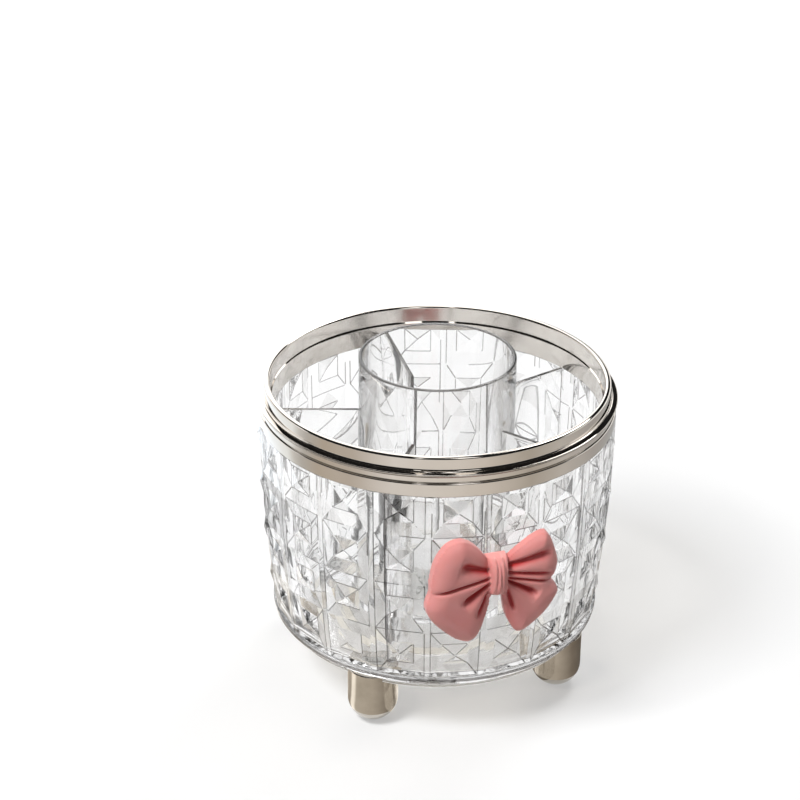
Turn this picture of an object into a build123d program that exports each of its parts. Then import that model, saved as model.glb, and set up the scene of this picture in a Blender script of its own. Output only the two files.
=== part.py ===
from build123d import *
import math
import os

# Round makeup brush holder. A clear drum with a diamond-cut wall, a plated rim
# and a resin bow turns on a low base with four plated feet. A clear insert, a
# centre cup with five dividers, lifts out of it. Millimetres and degrees, +Z up.
# The origin is on the table, on the axis that the drum turns about. -Y is front.

# Heights of the main levels above the table
lip_z = 107.0
drum_bottom_z = 20.8
drum_floor_thickness = 3.0

# Drum wall: outside crest radius under the rim, and how far it draws in below
crest_radius_top = 60.2
crest_draw_in = 4.0
crest_curve_power = 2.3
wall_thickness = 5.2
floor_corner_radius = 2.5

# Diamond cut of the wall: columns around and rows up, and the depth of each
# point of a cell below the crest
cut_columns = 20
cut_row_pitch = 18.2
cut_column_start = 16.0
pillar_angle = 2.0
pillar_depth = 0.4
edge_middle_depth = 0.75
inner_corner_depth = 1.05
inner_width_share = 0.5
inner_height_share = 0.45

# Base rim of the drum below the diamonds
base_rim_height = 4.0
base_rim_round_radius = 3.2

# Plated rim ring that caps the drum. Each inset is measured in from the crest
# radius and each drop down from the lip
ring_height = 13.0
ring_step_width = 0.6
ring_step_drop = 5.6
ring_lip_round = 0.8
ring_band_inset = 2.5
ring_band_drop = 3.8
ring_cove_reach = 0.35
ring_cove_fall = 0.75
ring_flange_inset = 0.2
ring_flange_drop = 5.25
ring_flange_edge = 0.8
ring_bead_inset = 1.0
ring_bead_drop = 7.8
ring_skirt_inset = 0.6
ring_skirt_groove = 0.5
ring_inner_leg = 1.2
ring_outer_leg = 1.5
ring_clearance = 0.1
tongue_top_drop = 4.6

# Lift-out insert: centre cup with five dividers
cup_rim_rise = 7.3
cup_outer_radius = 26.2
cup_wall = 1.3
cup_floor_thickness = 2.0
cup_lip_round = 0.45
divider_count = 5
divider_first_angle = 37.5
divider_thickness = 1.3
divider_drop = 12.6
divider_wall_gap = 0.4
divider_corner_radius = 3.0

# Base plate, its bearing and its centre pivot
running_gap = 0.3
plate_inset = 3.6
plate_thickness = 2.2
plate_edge_round = 0.5
glide_ring_radius = 35.0
glide_ring_width = 3.8
glide_groove_depth = 1.1
glide_top_gap = 0.1
pivot_boss_radius = 5.0
pivot_clearance = 0.3
washer_radius = 9.0
washer_thickness = 1.0
pivot_head_radius = 3.6
pivot_head_height = 1.6
pivot_shank_radius = 1.5
pivot_shank_length = 5.4
pivot_drive_width = 1.0
pivot_drive_length = 4.32
cup_head_clearance = 0.5

# Feet and the screws that hold them
foot_count = 4
foot_radius = 8.5
foot_axis_inset = 5.9
foot_first_angle = -115.5
foot_flat_depth = 0.3
foot_screw_head_radius = 3.0
foot_screw_head_height = 1.4
foot_screw_shank_radius = 1.4
foot_screw_length = 9.0
screw_hole_clearance = 0.1
screw_tip_room = 0.6

# Resin bow on the front of the drum
bow_angle = -71.7
bow_knot_drop = 40.4
bow_seat_gap = 0.1
bow_knot_half_width = 3.3
bow_knot_half_height = 7.0
bow_knot_side_depth = 5.6
bow_knot_crown = 2.4
bow_knot_end_share = 0.84
bow_fold_width = 1.5
bow_fold_depth = 2.2

# Wing of the bow, knot to tip: distance out, top edge, bottom edge, crown
bow_wing_sections = [
    (0.0, 4.6, -6.2, 3.6),
    (3.3, 6.0, -15.0, 4.8),
    (7.8, 9.6, -23.6, 5.8),
    (12.8, 13.0, -21.6, 6.4),
    (16.9, 13.0, -18.0, 6.2),
    (20.4, 6.4, -14.0, 4.8),
    (22.5, -6.4, -11.2, 1.6),
]

# Folds pressed into each wing: start height at the knot, slope angle, length
bow_folds = [
    (1.6, 24.0, 13.0),
    (-1.0, -4.0, 17.0),
    (-3.6, -38.0, 12.0),
]

# Points along a drawn curve of the wall
wall_curve_steps = 6

# Sizes that follow from the ones above
drum_floor_z = drum_bottom_z + drum_floor_thickness
ring_bottom_z = lip_z - ring_height
cut_bottom_z = drum_bottom_z + base_rim_height
cut_rows = math.ceil((ring_bottom_z - cut_bottom_z) / cut_row_pitch)
cut_top_z = cut_bottom_z + cut_rows * cut_row_pitch
cut_column_angle = 360.0 / cut_columns
base_rim_radius = crest_radius_top - crest_draw_in
ring_inner_radius = crest_radius_top - wall_thickness
ring_inner_radius_top = ring_inner_radius + ring_step_width
ring_band_radius = crest_radius_top - ring_band_inset
ring_flange_radius = crest_radius_top - ring_flange_inset
ring_bead_radius = crest_radius_top - ring_bead_inset
ring_skirt_radius = crest_radius_top - ring_skirt_inset
tongue_inner_radius = ring_inner_radius + ring_inner_leg + ring_clearance
tongue_outer_radius = ring_skirt_radius - ring_outer_leg - ring_clearance
tongue_top_z = lip_z - tongue_top_drop
plate_radius = base_rim_radius - plate_inset
foot_axis_radius = plate_radius - foot_axis_inset
plate_top_z = drum_bottom_z - running_gap
plate_bottom_z = plate_top_z - plate_thickness
pivot_boss_top_z = drum_floor_z + running_gap
washer_top_z = pivot_boss_top_z + washer_thickness
pivot_head_top_z = washer_top_z + pivot_head_height
cup_bottom_z = pivot_head_top_z + cup_head_clearance
cup_rim_z = lip_z + cup_rim_rise
divider_top_z = lip_z - divider_drop
foot_centre_z = foot_radius - foot_flat_depth


def crest_radius(z):
    """Radius of the drum wall's outermost points at height z."""
    below = (ring_bottom_z - z) / (ring_bottom_z - cut_bottom_z)
    return crest_radius_top - crest_draw_in * max(below, 0.0) ** crest_curve_power


def inner_radius(z):
    """Radius of the drum wall's smooth inside at height z."""
    return crest_radius(z) - wall_thickness


def curve_heights(z_from, z_to):
    """Evenly spaced heights for a curve that follows the wall."""
    return [z_from + (z_to - z_from) * step / wall_curve_steps for step in range(wall_curve_steps + 1)]


def polar(radius, angle, z=0.0):
    """Point at a radius, an angle in degrees and a height."""
    turn = math.radians(angle)
    return (radius * math.cos(turn), radius * math.sin(turn), z)


def cut_point(column, z, depth):
    """Point of the diamond cut, at a column position and a depth below the crest."""
    angle = cut_column_start + column * cut_column_angle
    return polar(crest_radius(z) - depth, angle, z)


def polygon_face(points):
    """Flat face through three or more points."""
    return Face(Wire.make_polygon([Vector(*point) for point in points], close=True))


def diamond_cell(column, row):
    """Facets of one cell: a pyramid, four tips, eight corner facets and its pillar."""
    half_pillar = pillar_angle / cut_column_angle / 2
    left, right = column + half_pillar, column + 1 - half_pillar
    next_left = column + 1 + half_pillar
    middle = column + 0.5
    low = cut_bottom_z + row * cut_row_pitch
    high = low + cut_row_pitch
    centre_z = (low + high) / 2
    half_width = inner_width_share / 2
    half_height = inner_height_share * cut_row_pitch / 2

    crest = cut_point(middle, centre_z, 0.0)
    inner = [
        cut_point(middle + side * half_width, centre_z + up * half_height, inner_corner_depth)
        for side, up in ((-1, -1), (1, -1), (1, 1), (-1, 1))
    ]
    corners = [cut_point(c, z, pillar_depth) for c, z in ((left, low), (right, low), (right, high), (left, high))]
    middles = [
        cut_point(middle, low, edge_middle_depth),
        cut_point(right, centre_z, pillar_depth),
        cut_point(middle, high, edge_middle_depth),
        cut_point(left, centre_z, pillar_depth),
    ]
    facets = []
    for side in range(4):
        after = (side + 1) % 4
        facets.append([crest, inner[side], inner[after]])
        facets.append([inner[side], middles[side], inner[after]])
        facets.append([corners[side], middles[side], inner[side]])
        facets.append([corners[after], inner[after], middles[side]])
    for z_from, z_to in ((low, centre_z), (centre_z, high)):
        facets.append([
            cut_point(right, z_from, pillar_depth),
            cut_point(next_left, z_from, pillar_depth),
            cut_point(next_left, z_to, pillar_depth),
            cut_point(right, z_to, pillar_depth),
        ])
    return [polygon_face(points) for points in facets]


def cut_outline(z):
    """Flat cap of the diamond cut at its lowest or highest level."""
    half_pillar = pillar_angle / cut_column_angle / 2
    points = []
    for column in range(cut_columns):
        points.append(cut_point(column + half_pillar, z, pillar_depth))
        points.append(cut_point(column + 0.5, z, edge_middle_depth))
        points.append(cut_point(column + 1 - half_pillar, z, pillar_depth))
    return polygon_face(points)


def diamond_block():
    """Solid block with the diamond cut all round it."""
    faces = [cut_outline(cut_bottom_z), cut_outline(cut_top_z)]
    for column in range(cut_columns):
        for row in range(cut_rows):
            faces.extend(diamond_cell(column, row))
    return Solid(Shell(faces))


def disc(radius, z_from, z_to, centre=(0.0, 0.0)):
    """Upright cylinder between two heights."""
    place = Pos(centre[0], centre[1], z_from)
    return place * Cylinder(radius, z_to - z_from, align=(Align.CENTER, Align.CENTER, Align.MIN))


def tube(inner, outer, z_from, z_to):
    """Upright ring between two radii and two heights."""
    return disc(outer, z_from, z_to) - disc(inner, z_from, z_to)


def drum_cavity():
    """Inside of the drum: the barrel-shaped wall and the rounded floor corner."""
    corner_top = drum_floor_z + floor_corner_radius
    wall = Spline(*[(inner_radius(z), 0, z) for z in curve_heights(corner_top, ring_bottom_z)])
    corner_end = inner_radius(corner_top)
    corner_start = corner_end - floor_corner_radius
    bulge = floor_corner_radius * math.sqrt(0.5)
    corner = ThreePointArc(
        (corner_start, 0, drum_floor_z),
        (corner_start + bulge, 0, corner_top - bulge),
        (corner_end, 0, corner_top),
    )
    rest = Polyline(
        (ring_inner_radius, 0, ring_bottom_z),
        (ring_inner_radius, 0, lip_z),
        (0, 0, lip_z),
        (0, 0, drum_floor_z),
        (corner_start, 0, drum_floor_z),
    )
    return revolve(make_face(wall + corner + rest), Axis.Z)


def drum_bucket():
    """Clear drum: diamond-cut wall, rounded base rim, floor and tongue."""
    under_rim = disc(crest_radius_top, drum_bottom_z, ring_bottom_z)
    body = diamond_block() & under_rim
    base_rim = disc(base_rim_radius, drum_bottom_z, cut_bottom_z)
    base_rim = fillet(base_rim.edges().group_by(Axis.Z)[0], base_rim_round_radius)
    body = body + base_rim + disc(tongue_outer_radius, ring_bottom_z, tongue_top_z)
    body = body - drum_cavity() - disc(tongue_inner_radius, ring_bottom_z, lip_z)
    return body - disc(pivot_boss_radius + pivot_clearance, 0, lip_z)


def rim_ring():
    """Plated ring: lip, band, cove, flange, bead and skirt over a slot for the tongue."""
    cove_start = (ring_band_radius, 0, lip_z - ring_band_drop)
    flange_top = (ring_flange_radius - ring_flange_edge / 2, 0, lip_z - ring_flange_drop + ring_flange_edge / 2)
    cove_middle = (
        ring_band_radius + (flange_top[0] - ring_band_radius) * ring_cove_reach,
        0,
        cove_start[2] + (flange_top[2] - cove_start[2]) * ring_cove_fall,
    )
    flange_low = (flange_top[0], 0, flange_top[2] - ring_flange_edge)
    bead_top = (ring_bead_radius, 0, flange_low[2] - (flange_low[0] - ring_bead_radius))
    bead_low = (ring_bead_radius, 0, lip_z - ring_bead_drop)
    skirt_top = (ring_skirt_radius, 0, bead_low[2] - ring_skirt_groove)
    groove = (ring_bead_radius - ring_skirt_groove / 2, 0, bead_low[2] - ring_skirt_groove / 2)
    lip_outer = (ring_band_radius, 0, lip_z - ring_lip_round)
    lip_inner = (ring_inner_radius_top, 0, lip_z - ring_lip_round)
    outline = Polyline(lip_outer, cove_start)
    outline += ThreePointArc(cove_start, cove_middle, flange_top)
    outline += ThreePointArc(flange_top, (ring_flange_radius, 0, lip_z - ring_flange_drop), flange_low)
    outline += Polyline(
        flange_low,
        bead_top,
        bead_low,
        groove,
        skirt_top,
        (ring_skirt_radius, 0, ring_bottom_z),
        (ring_inner_radius, 0, ring_bottom_z),
        (ring_inner_radius, 0, lip_z - ring_step_drop - ring_step_width),
        (ring_inner_radius_top, 0, lip_z - ring_step_drop),
        lip_inner,
    )
    lip_top = ((ring_inner_radius_top + ring_band_radius) / 2, 0, lip_z)
    outline += ThreePointArc(lip_inner, lip_top, lip_outer)
    ring = revolve(make_face(outline), Axis.Z)
    slot = tube(
        tongue_inner_radius - ring_clearance,
        tongue_outer_radius + ring_clearance,
        ring_bottom_z - ring_clearance,
        tongue_top_z + ring_clearance,
    )
    return ring - slot


def bow_section(distance, top, bottom, crown):
    """Section across a wing: a straight back and an arched front."""
    back = Line((distance, bottom, 0), (distance, top, 0))
    front = ThreePointArc((distance, top, 0), (distance, (top + bottom) / 2, crown), (distance, bottom, 0))
    return make_face(back + front)


def bow_wing():
    """Right wing of the bow, lofted from the knot to its tip and pressed with folds."""
    wing = loft([bow_section(*section) for section in bow_wing_sections])
    crown = max(section[3] for section in bow_wing_sections)
    for start_height, angle, length in bow_folds:
        groove = Polyline(
            (0, -bow_fold_width / 2, crown),
            (0, bow_fold_width / 2, crown),
            (0, 0, crown - bow_fold_depth),
            close=True,
        )
        cutter = extrude(make_face(groove), amount=length, dir=(1, 0, 0))
        lift = math.degrees(math.atan2(bow_fold_depth, length))
        wing -= Pos(0, start_height, 0) * Rot(0, 0, angle) * Rot(0, -lift / 2, 0) * cutter
    return wing


def bow_knot():
    """Pleated knot that wraps the middle of the bow."""
    sections = []
    for share, end in ((bow_knot_end_share, -1), (1.0, 0), (bow_knot_end_share, 1)):
        half = bow_knot_half_width * share
        level = end * bow_knot_half_height
        side = bow_knot_side_depth * share
        outline = Polyline((-half, level, side), (-half, level, 0), (half, level, 0), (half, level, side))
        outline += ThreePointArc((half, level, side), (0, level, side + bow_knot_crown * share), (-half, level, side))
        sections.append(make_face(outline))
    return loft(sections)


def bow():
    """Resin bow with its flat back on the drum's foremost crests."""
    wing = bow_wing()
    shape = wing + mirror(wing, about=Plane.YZ) + bow_knot()
    knot_z = lip_z - bow_knot_drop
    seat = crest_radius(knot_z) + bow_seat_gap
    out = Vector(*polar(1.0, bow_angle))
    along = Vector(*polar(1.0, bow_angle + 90))
    place = Plane(origin=Vector(*polar(seat, bow_angle, knot_z)), x_dir=along, z_dir=out)
    return place.location * shape


def center_cup():
    """Centre cup of the insert, open at the top, with a rounded lip."""
    cup = disc(cup_outer_radius, cup_bottom_z, cup_rim_z)
    cup -= disc(cup_outer_radius - cup_wall, cup_bottom_z + cup_floor_thickness, cup_rim_z)
    return fillet(cup.edges().group_by(Axis.Z)[-1], cup_lip_round)


def divider(index):
    """Thin upright divider from the cup to just short of the drum wall."""
    corner_z = drum_floor_z + divider_corner_radius
    outer_low = inner_radius(corner_z) - divider_wall_gap
    heights = curve_heights(corner_z, divider_top_z)
    edge = Spline(*[(inner_radius(z) - divider_wall_gap, 0, z) for z in heights])
    start = cup_outer_radius - cup_wall / 2
    rest = Polyline(
        tuple(edge @ 1),
        (start, 0, divider_top_z),
        (start, 0, drum_floor_z),
        (outer_low - divider_corner_radius, 0, drum_floor_z),
        (outer_low, 0, corner_z),
    )
    sheet = extrude(make_face(edge + rest), amount=divider_thickness / 2, both=True)
    sheet -= disc(cup_outer_radius, 0, lip_z)
    return Rot(0, 0, divider_first_angle - index * 360 / divider_count) * sheet


def foot_angle(index):
    """Angle of a foot about the axis."""
    return foot_first_angle + index * 360 / foot_count


def foot_centre(index):
    """Plan position of a foot's axis."""
    x, y, _ = polar(foot_axis_radius, foot_angle(index))
    return x, y


def foot(index):
    """Plated domed foot, notched round the edge of the base plate."""
    x, y = foot_centre(index)
    body = disc(foot_radius, foot_centre_z, plate_top_z, (x, y)) + Pos(x, y, foot_centre_z) * Sphere(foot_radius)
    body -= disc(foot_radius * 2, -foot_radius, 0, (x, y))
    body -= disc(plate_radius, plate_bottom_z, lip_z)
    hole_bottom_z = plate_top_z - foot_screw_length - screw_tip_room
    return body - disc(foot_screw_shank_radius + screw_hole_clearance, hole_bottom_z, lip_z, (x, y))


def foot_screw(index):
    """Countersunk screw through the plate into one foot, its head flush."""
    x, y = foot_centre(index)
    neck = foot_screw_shank_radius
    head = Cone(
        neck, foot_screw_head_radius, foot_screw_head_height, align=(Align.CENTER, Align.CENTER, Align.MAX)
    )
    shank = disc(neck, plate_top_z - foot_screw_length, plate_top_z - foot_screw_head_height, (x, y))
    return Pos(x, y, plate_top_z) * head + shank


def base_plate():
    """Clear base plate with its bearing groove, countersunk holes and centre boss."""
    plate = disc(plate_radius, plate_bottom_z, plate_top_z)
    plate = chamfer(plate.edges().filter_by(GeomType.CIRCLE), plate_edge_round)
    groove_inner = glide_ring_radius - glide_ring_width / 2
    plate -= tube(groove_inner, groove_inner + glide_ring_width, plate_top_z - glide_groove_depth, plate_top_z)
    plate += disc(pivot_boss_radius, plate_top_z, pivot_boss_top_z)
    hole_bottom_z = washer_top_z - pivot_shank_length
    plate -= disc(pivot_shank_radius + screw_hole_clearance, hole_bottom_z, lip_z)
    for index in range(foot_count):
        x, y = foot_centre(index)
        shank = foot_screw_shank_radius + screw_hole_clearance
        head = foot_screw_head_radius + screw_hole_clearance
        sink = Cone(shank, head, foot_screw_head_height, align=(Align.CENTER, Align.CENTER, Align.MAX))
        plate -= disc(shank, 0, plate_top_z, (x, y)) + Pos(x, y, plate_top_z) * sink
    return plate


def glide_ring():
    """Low-friction ring in the plate's groove that the drum slides on."""
    inner = glide_ring_radius - glide_ring_width / 2 + screw_hole_clearance
    outer = inner + glide_ring_width - 2 * screw_hole_clearance
    return tube(inner, outer, plate_top_z - glide_groove_depth, drum_bottom_z - glide_top_gap)


def pivot_washer():
    """Washer over the boss that keeps the drum on its base."""
    return tube(pivot_shank_radius + screw_hole_clearance, washer_radius, pivot_boss_top_z, washer_top_z)


def pivot_screw():
    """Pan-head screw that clamps the washer to the boss, with a cross drive."""
    head = disc(pivot_head_radius, washer_top_z, pivot_head_top_z)
    head = fillet(head.edges().group_by(Axis.Z)[-1], pivot_head_height / 2)
    slot = Box(pivot_drive_length, pivot_drive_width, pivot_head_height)
    drive = Pos(0, 0, pivot_head_top_z) * (slot + Rot(0, 0, 90) * slot)
    shank_bottom_z = washer_top_z - pivot_shank_length + screw_hole_clearance
    return head - drive + disc(pivot_shank_radius, shank_bottom_z, washer_top_z)


pieces = {
    "drum_bucket": drum_bucket(),
    "rim_ring": rim_ring(),
    "bow": bow(),
    "center_cup": center_cup(),
    "base_plate": base_plate(),
    "glide_ring": glide_ring(),
    "pivot_washer": pivot_washer(),
    "pivot_screw": pivot_screw(),
    "foot_screws": Compound(children=[foot_screw(index) for index in range(foot_count)]),
}
for index in range(divider_count):
    pieces[f"divider_{index + 1}"] = divider(index)
for index in range(foot_count):
    pieces[f"foot_{index + 1}"] = foot(index)

os.makedirs("parts", exist_ok=True)
for name, shape in pieces.items():
    export_step(shape, f"parts/{name}.step")
    print(name, round(shape.volume, 1))
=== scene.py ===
import logging
import math
import random
from contextlib import contextmanager
from dataclasses import dataclass, field
from enum import Enum
from typing import Callable, Iterator, Sequence

import bmesh
import bpy
import numpy as np
from mathutils import Euler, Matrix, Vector


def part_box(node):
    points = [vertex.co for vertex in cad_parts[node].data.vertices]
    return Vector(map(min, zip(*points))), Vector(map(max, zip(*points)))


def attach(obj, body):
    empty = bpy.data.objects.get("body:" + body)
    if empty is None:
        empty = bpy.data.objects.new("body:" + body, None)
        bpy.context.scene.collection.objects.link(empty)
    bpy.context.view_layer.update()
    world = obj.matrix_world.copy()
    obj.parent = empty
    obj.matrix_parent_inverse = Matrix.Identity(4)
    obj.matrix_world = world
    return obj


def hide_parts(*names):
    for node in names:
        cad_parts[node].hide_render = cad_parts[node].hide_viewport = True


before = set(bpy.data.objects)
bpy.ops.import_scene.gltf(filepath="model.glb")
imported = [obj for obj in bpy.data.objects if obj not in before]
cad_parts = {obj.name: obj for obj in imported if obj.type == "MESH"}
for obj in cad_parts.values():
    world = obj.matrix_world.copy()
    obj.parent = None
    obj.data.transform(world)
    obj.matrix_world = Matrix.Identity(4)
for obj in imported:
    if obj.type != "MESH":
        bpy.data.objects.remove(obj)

log = logging.getLogger("holder")

MM = 0.001
AXIS = (0.0, 0.0, 1.0)
CENTRE = (0.0, 0.0, 0.0)
MERGE_DISTANCE = 2e-6
PAINTED_SHADE_ATTRIBUTE = "crease"
START_SIZE = 0.001
CONTACT_GAP = 0.04 * MM
# Part of a normal along an axis from which a face counts as square to that axis.
SQUARE_ON = 0.9
# Tolerance and place of a poked point on the flat column of cells, which is one unit wide.
NEAR = 1e-4
QUARTER = 0.25
# Middle range of a noise texture, where most of its values lie.
NOISE_RANGE = (0.3, 0.7)
MAX_BOUNCES = 32
GLOSSY_BOUNCES = 16

Point = tuple[float, float]
Place = tuple[float, float, float]
Colour = tuple[float, float, float]
Piece = bpy.types.Object
Tree = bpy.types.NodeTree
Socket = bpy.types.NodeSocket
Node = bpy.types.Node
Face = bmesh.types.BMFace
Edge = bmesh.types.BMEdge
Vert = bmesh.types.BMVert


class Element(Enum):
    """What an edit selects."""

    VERT = "verts"
    EDGE = "edges"
    FACE = "faces"


class Rounding(Enum):
    """How a corner of a turned outline is finished, as a radius in metres."""

    SHARP = 0.0
    BROKEN = 0.12 * MM
    EASED = 0.3 * MM
    SOFT = 0.45 * MM
    FULL = 0.78 * MM
    ROUND = 2.5 * MM
    BOLD = 3.2 * MM


SHARP, BROKEN, EASED, SOFT, FULL, ROUND, BOLD = Rounding


def polar(radius: float, angle: float, z: float = 0.0) -> Vector:
    """Point at a radius, an angle in degrees and a height."""
    turn = math.radians(angle)
    return Vector((radius * math.cos(turn), radius * math.sin(turn), z))


def deselect() -> None:
    """Leaves edit mode and drops every selection."""
    if bpy.context.object and bpy.context.object.mode != "OBJECT":
        bpy.ops.object.mode_set(mode="OBJECT")
    bpy.ops.object.select_all(action="DESELECT")


def activate(piece: Piece) -> None:
    """Makes a piece the only selected and the active one."""
    deselect()
    piece.select_set(True)
    bpy.context.view_layer.objects.active = piece


@contextmanager
def editing(piece: Piece, mode: Element = Element.VERT) -> Iterator[None]:
    """Edit mode on one piece, with nothing selected at the start.

    Args:
        piece: The mesh to edit.
        mode: The kind of element that selections pick.
    """
    activate(piece)
    bpy.ops.object.mode_set(mode="EDIT")
    bpy.ops.mesh.select_mode(type=mode.name)
    bpy.ops.mesh.select_all(action="DESELECT")
    yield
    bpy.ops.object.mode_set(mode="OBJECT")


def pick(piece: Piece, kind: Element, wanted: Callable[..., bool]) -> None:
    """Selects the elements of a piece in edit mode that pass a test.

    Args:
        piece: The mesh in edit mode.
        kind: The kind of element to select.
        wanted: Test of one BMesh element.
    """
    mesh = bmesh.from_edit_mesh(piece.data)
    bpy.ops.mesh.select_all(action="DESELECT")
    chosen = [element for element in getattr(mesh, kind.value) if wanted(element)]
    for element in chosen:
        element.select_set(True)
    mesh.select_flush_mode()
    bmesh.update_edit_mesh(piece.data)


def named(name: str) -> Piece:
    """The object that an operator just added, with its name set."""
    piece = bpy.context.object
    piece.name = piece.data.name = name
    return piece


def select_all() -> None:
    """Selects the whole mesh that is being edited."""
    bpy.ops.mesh.select_all(action="SELECT")


def merge_doubles() -> None:
    """Merges the points of the edited mesh that lie in one place."""
    select_all()
    bpy.ops.mesh.remove_doubles(threshold=MERGE_DISTANCE)


def face_out() -> None:
    """Turns all faces of the edited mesh outwards."""
    select_all()
    bpy.ops.mesh.normals_make_consistent(inside=False)


def extrude(step: Sequence[float]) -> None:
    """Extrudes what is selected of the edited mesh by a step."""
    bpy.ops.mesh.extrude_region_move(TRANSFORM_OT_translate={"value": step})


def smooth(piece: Piece, angle: float = 30.0) -> None:
    """Shades a piece smooth, up to an angle between its faces in degrees."""
    activate(piece)
    bpy.ops.object.shade_smooth_by_angle(angle=math.radians(angle))


def apply_boolean(piece: Piece, tool: Piece, operation: str) -> None:
    """Joins a tool body to a piece or cuts it away, and removes the tool.

    Args:
        piece: The piece that keeps the result.
        tool: The body that is used up.
        operation: UNION or DIFFERENCE.
    """
    activate(piece)
    modifier = piece.modifiers.new(operation.title(), "BOOLEAN")
    modifier.operation = operation
    modifier.solver = "EXACT"
    modifier.object = tool
    bpy.ops.object.modifier_apply(modifier=modifier.name)
    bpy.data.objects.remove(tool, do_unlink=True)


def turn_upright(piece: Piece, angle: float) -> None:
    """Turns the mesh of a piece about the upright axis by an angle in degrees."""
    activate(piece)
    piece.rotation_euler = Euler((0.0, 0.0, math.radians(angle)))
    bpy.ops.object.transform_apply(location=False, rotation=True, scale=False)


def repeated(first: Piece, label: str, count: int, step: float) -> list[Piece]:
    """A piece with its copies round the upright axis, numbered from 1.

    Args:
        first: The first piece.
        label: Name of the pieces without their number.
        count: How many there are with the first.
        step: Turn from one to the next in degrees.

    Returns:
        All the pieces, each with its own mesh.
    """
    pieces = [first]
    for index in range(1, count):
        twin = first.copy()
        twin.data = first.data.copy()
        twin.name = twin.data.name = f"{label}_{index + 1}"
        bpy.context.collection.objects.link(twin)
        turn_upright(twin, index * step)
        pieces.append(twin)
    return pieces


def cut_cross(screw: Piece, top: Place, size: Place) -> None:
    """Cuts a cross drive into the head of a screw and shades the screw.

    Args:
        screw: The screw.
        top: Middle of the head's top.
        size: Length and width of an arm, and twice its depth.
    """
    for angle in (0.0, 90.0):
        deselect()
        bpy.ops.mesh.primitive_cube_add(size=1.0, location=top)
        arm = bpy.context.object
        arm.scale = size
        arm.rotation_euler = Euler((0.0, 0.0, math.radians(angle)))
        bpy.ops.object.transform_apply(location=True, rotation=True, scale=True)
        apply_boolean(screw, arm, "DIFFERENCE")
    smooth(screw)


def wire(name: str, points: Sequence[Place]) -> Piece:
    """Chain of edges drawn point by point with the extrude operator.

    Args:
        name: Name of the piece.
        points: The points of the chain.

    Returns:
        The piece, still only a wire.
    """
    deselect()
    bpy.ops.mesh.primitive_plane_add(size=START_SIZE)
    piece = named(name)
    with editing(piece):
        select_all()
        bpy.ops.mesh.merge(type="CENTER")
        bpy.ops.transform.translate(value=points[0])
        for start, end in zip(points, points[1:]):
            step = tuple(Vector(end) - Vector(start))
            bpy.ops.mesh.extrude_vertices_move(TRANSFORM_OT_translate={"value": step})
    return piece


Corner = tuple[float, float, Rounding]


def section(radii: Point, heights: Point, roundings: Sequence[Rounding] = (SHARP,) * 4) -> list[Corner]:
    """Rectangular outline of a disc or a ring.

    Args:
        radii: Inner and outer radius.
        heights: Height of the bottom and of the top.
        roundings: Of the inner bottom corner and on round to the inner top one.

    Returns:
        Its four corners.
    """
    (inner, outer), (bottom, top) = radii, heights
    corners = ((inner, bottom), (outer, bottom), (outer, top), (inner, top))
    return [(*corner, rounding) for corner, rounding in zip(corners, roundings)]


@dataclass(frozen=True)
class Lathe:
    """Turns closed outlines about the upright axis.

    Args:
        steps: Steps of a full turn.
        corner_segments: Segments of a rounded corner.
        smooth_angle: Angle below which faces are shaded as one, in degrees.
    """

    steps: int = 180
    corner_segments: int = 4
    smooth_angle: float = 28.0

    def turn(self, name: str, outline: list[Corner], centre: Point = (0.0, 0.0)) -> Piece:
        """Turned body from an outline of radius, height and rounding.

        Args:
            name: Name of the piece.
            outline: Corners in order, closed from the last to the first.
            centre: Plan position of the turning axis.

        Returns:
            The closed, smooth piece.
        """
        piece = wire(name, [(radius, 0.0, z) for radius, z, _ in outline + outline[:1]])
        with editing(piece):
            merge_doubles()
            for rounding in Rounding:
                self._round(piece, outline, rounding)
            select_all()
            bpy.ops.mesh.spin(steps=self.steps, angle=math.tau, center=CENTRE, axis=AXIS)
            merge_doubles()
            bpy.ops.mesh.dissolve_degenerate(threshold=MERGE_DISTANCE)
            face_out()
            bpy.ops.transform.translate(value=(*centre, 0.0))
        smooth(piece, self.smooth_angle)
        return piece

    def _round(self, piece: Piece, outline: list[Corner], rounding: Rounding) -> None:
        """Rounds the corners of the wire that ask for one rounding.

        Args:
            piece: The wire in edit mode.
            outline: Its corners.
            rounding: The rounding to make.
        """
        spots = [Vector((radius, 0.0, z)) for radius, z, kind in outline if kind is rounding]
        if rounding is SHARP or not spots:
            return
        pick(piece, Element.VERT, lambda v: any((v.co - spot).length < MERGE_DISTANCE for spot in spots))
        bpy.ops.mesh.bevel(
            offset_type="OFFSET",
            offset=rounding.value,
            segments=self.corner_segments,
            affect="VERTICES",
            clamp_overlap=True,
        )


@dataclass(frozen=True)
class WallCurve:
    """Barrel curve of the drum's wall.

    Args:
        top_radius: Crest radius under the rim ring.
        draw_in: How far the crest draws in at the foot of the wall.
        power: How late the wall draws in.
        thickness: From the crest to the smooth inside.
        top: Height of the wall's top.
        foot: Height where the diamond cut starts.
    """

    top_radius: float = 60.2 * MM
    draw_in: float = 4.0 * MM
    power: float = 2.3
    thickness: float = 5.2 * MM
    top: float = 94.0 * MM
    foot: float = 24.8 * MM

    def crest(self, z: float) -> float:
        """Radius of the wall's outermost points at a height."""
        below = (self.top - z) / (self.top - self.foot)
        return self.top_radius - self.draw_in * max(below, 0.0) ** self.power

    def inside(self, z: float) -> float:
        """Radius of the wall's smooth inside at a height."""
        return self.crest(z) - self.thickness


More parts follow.
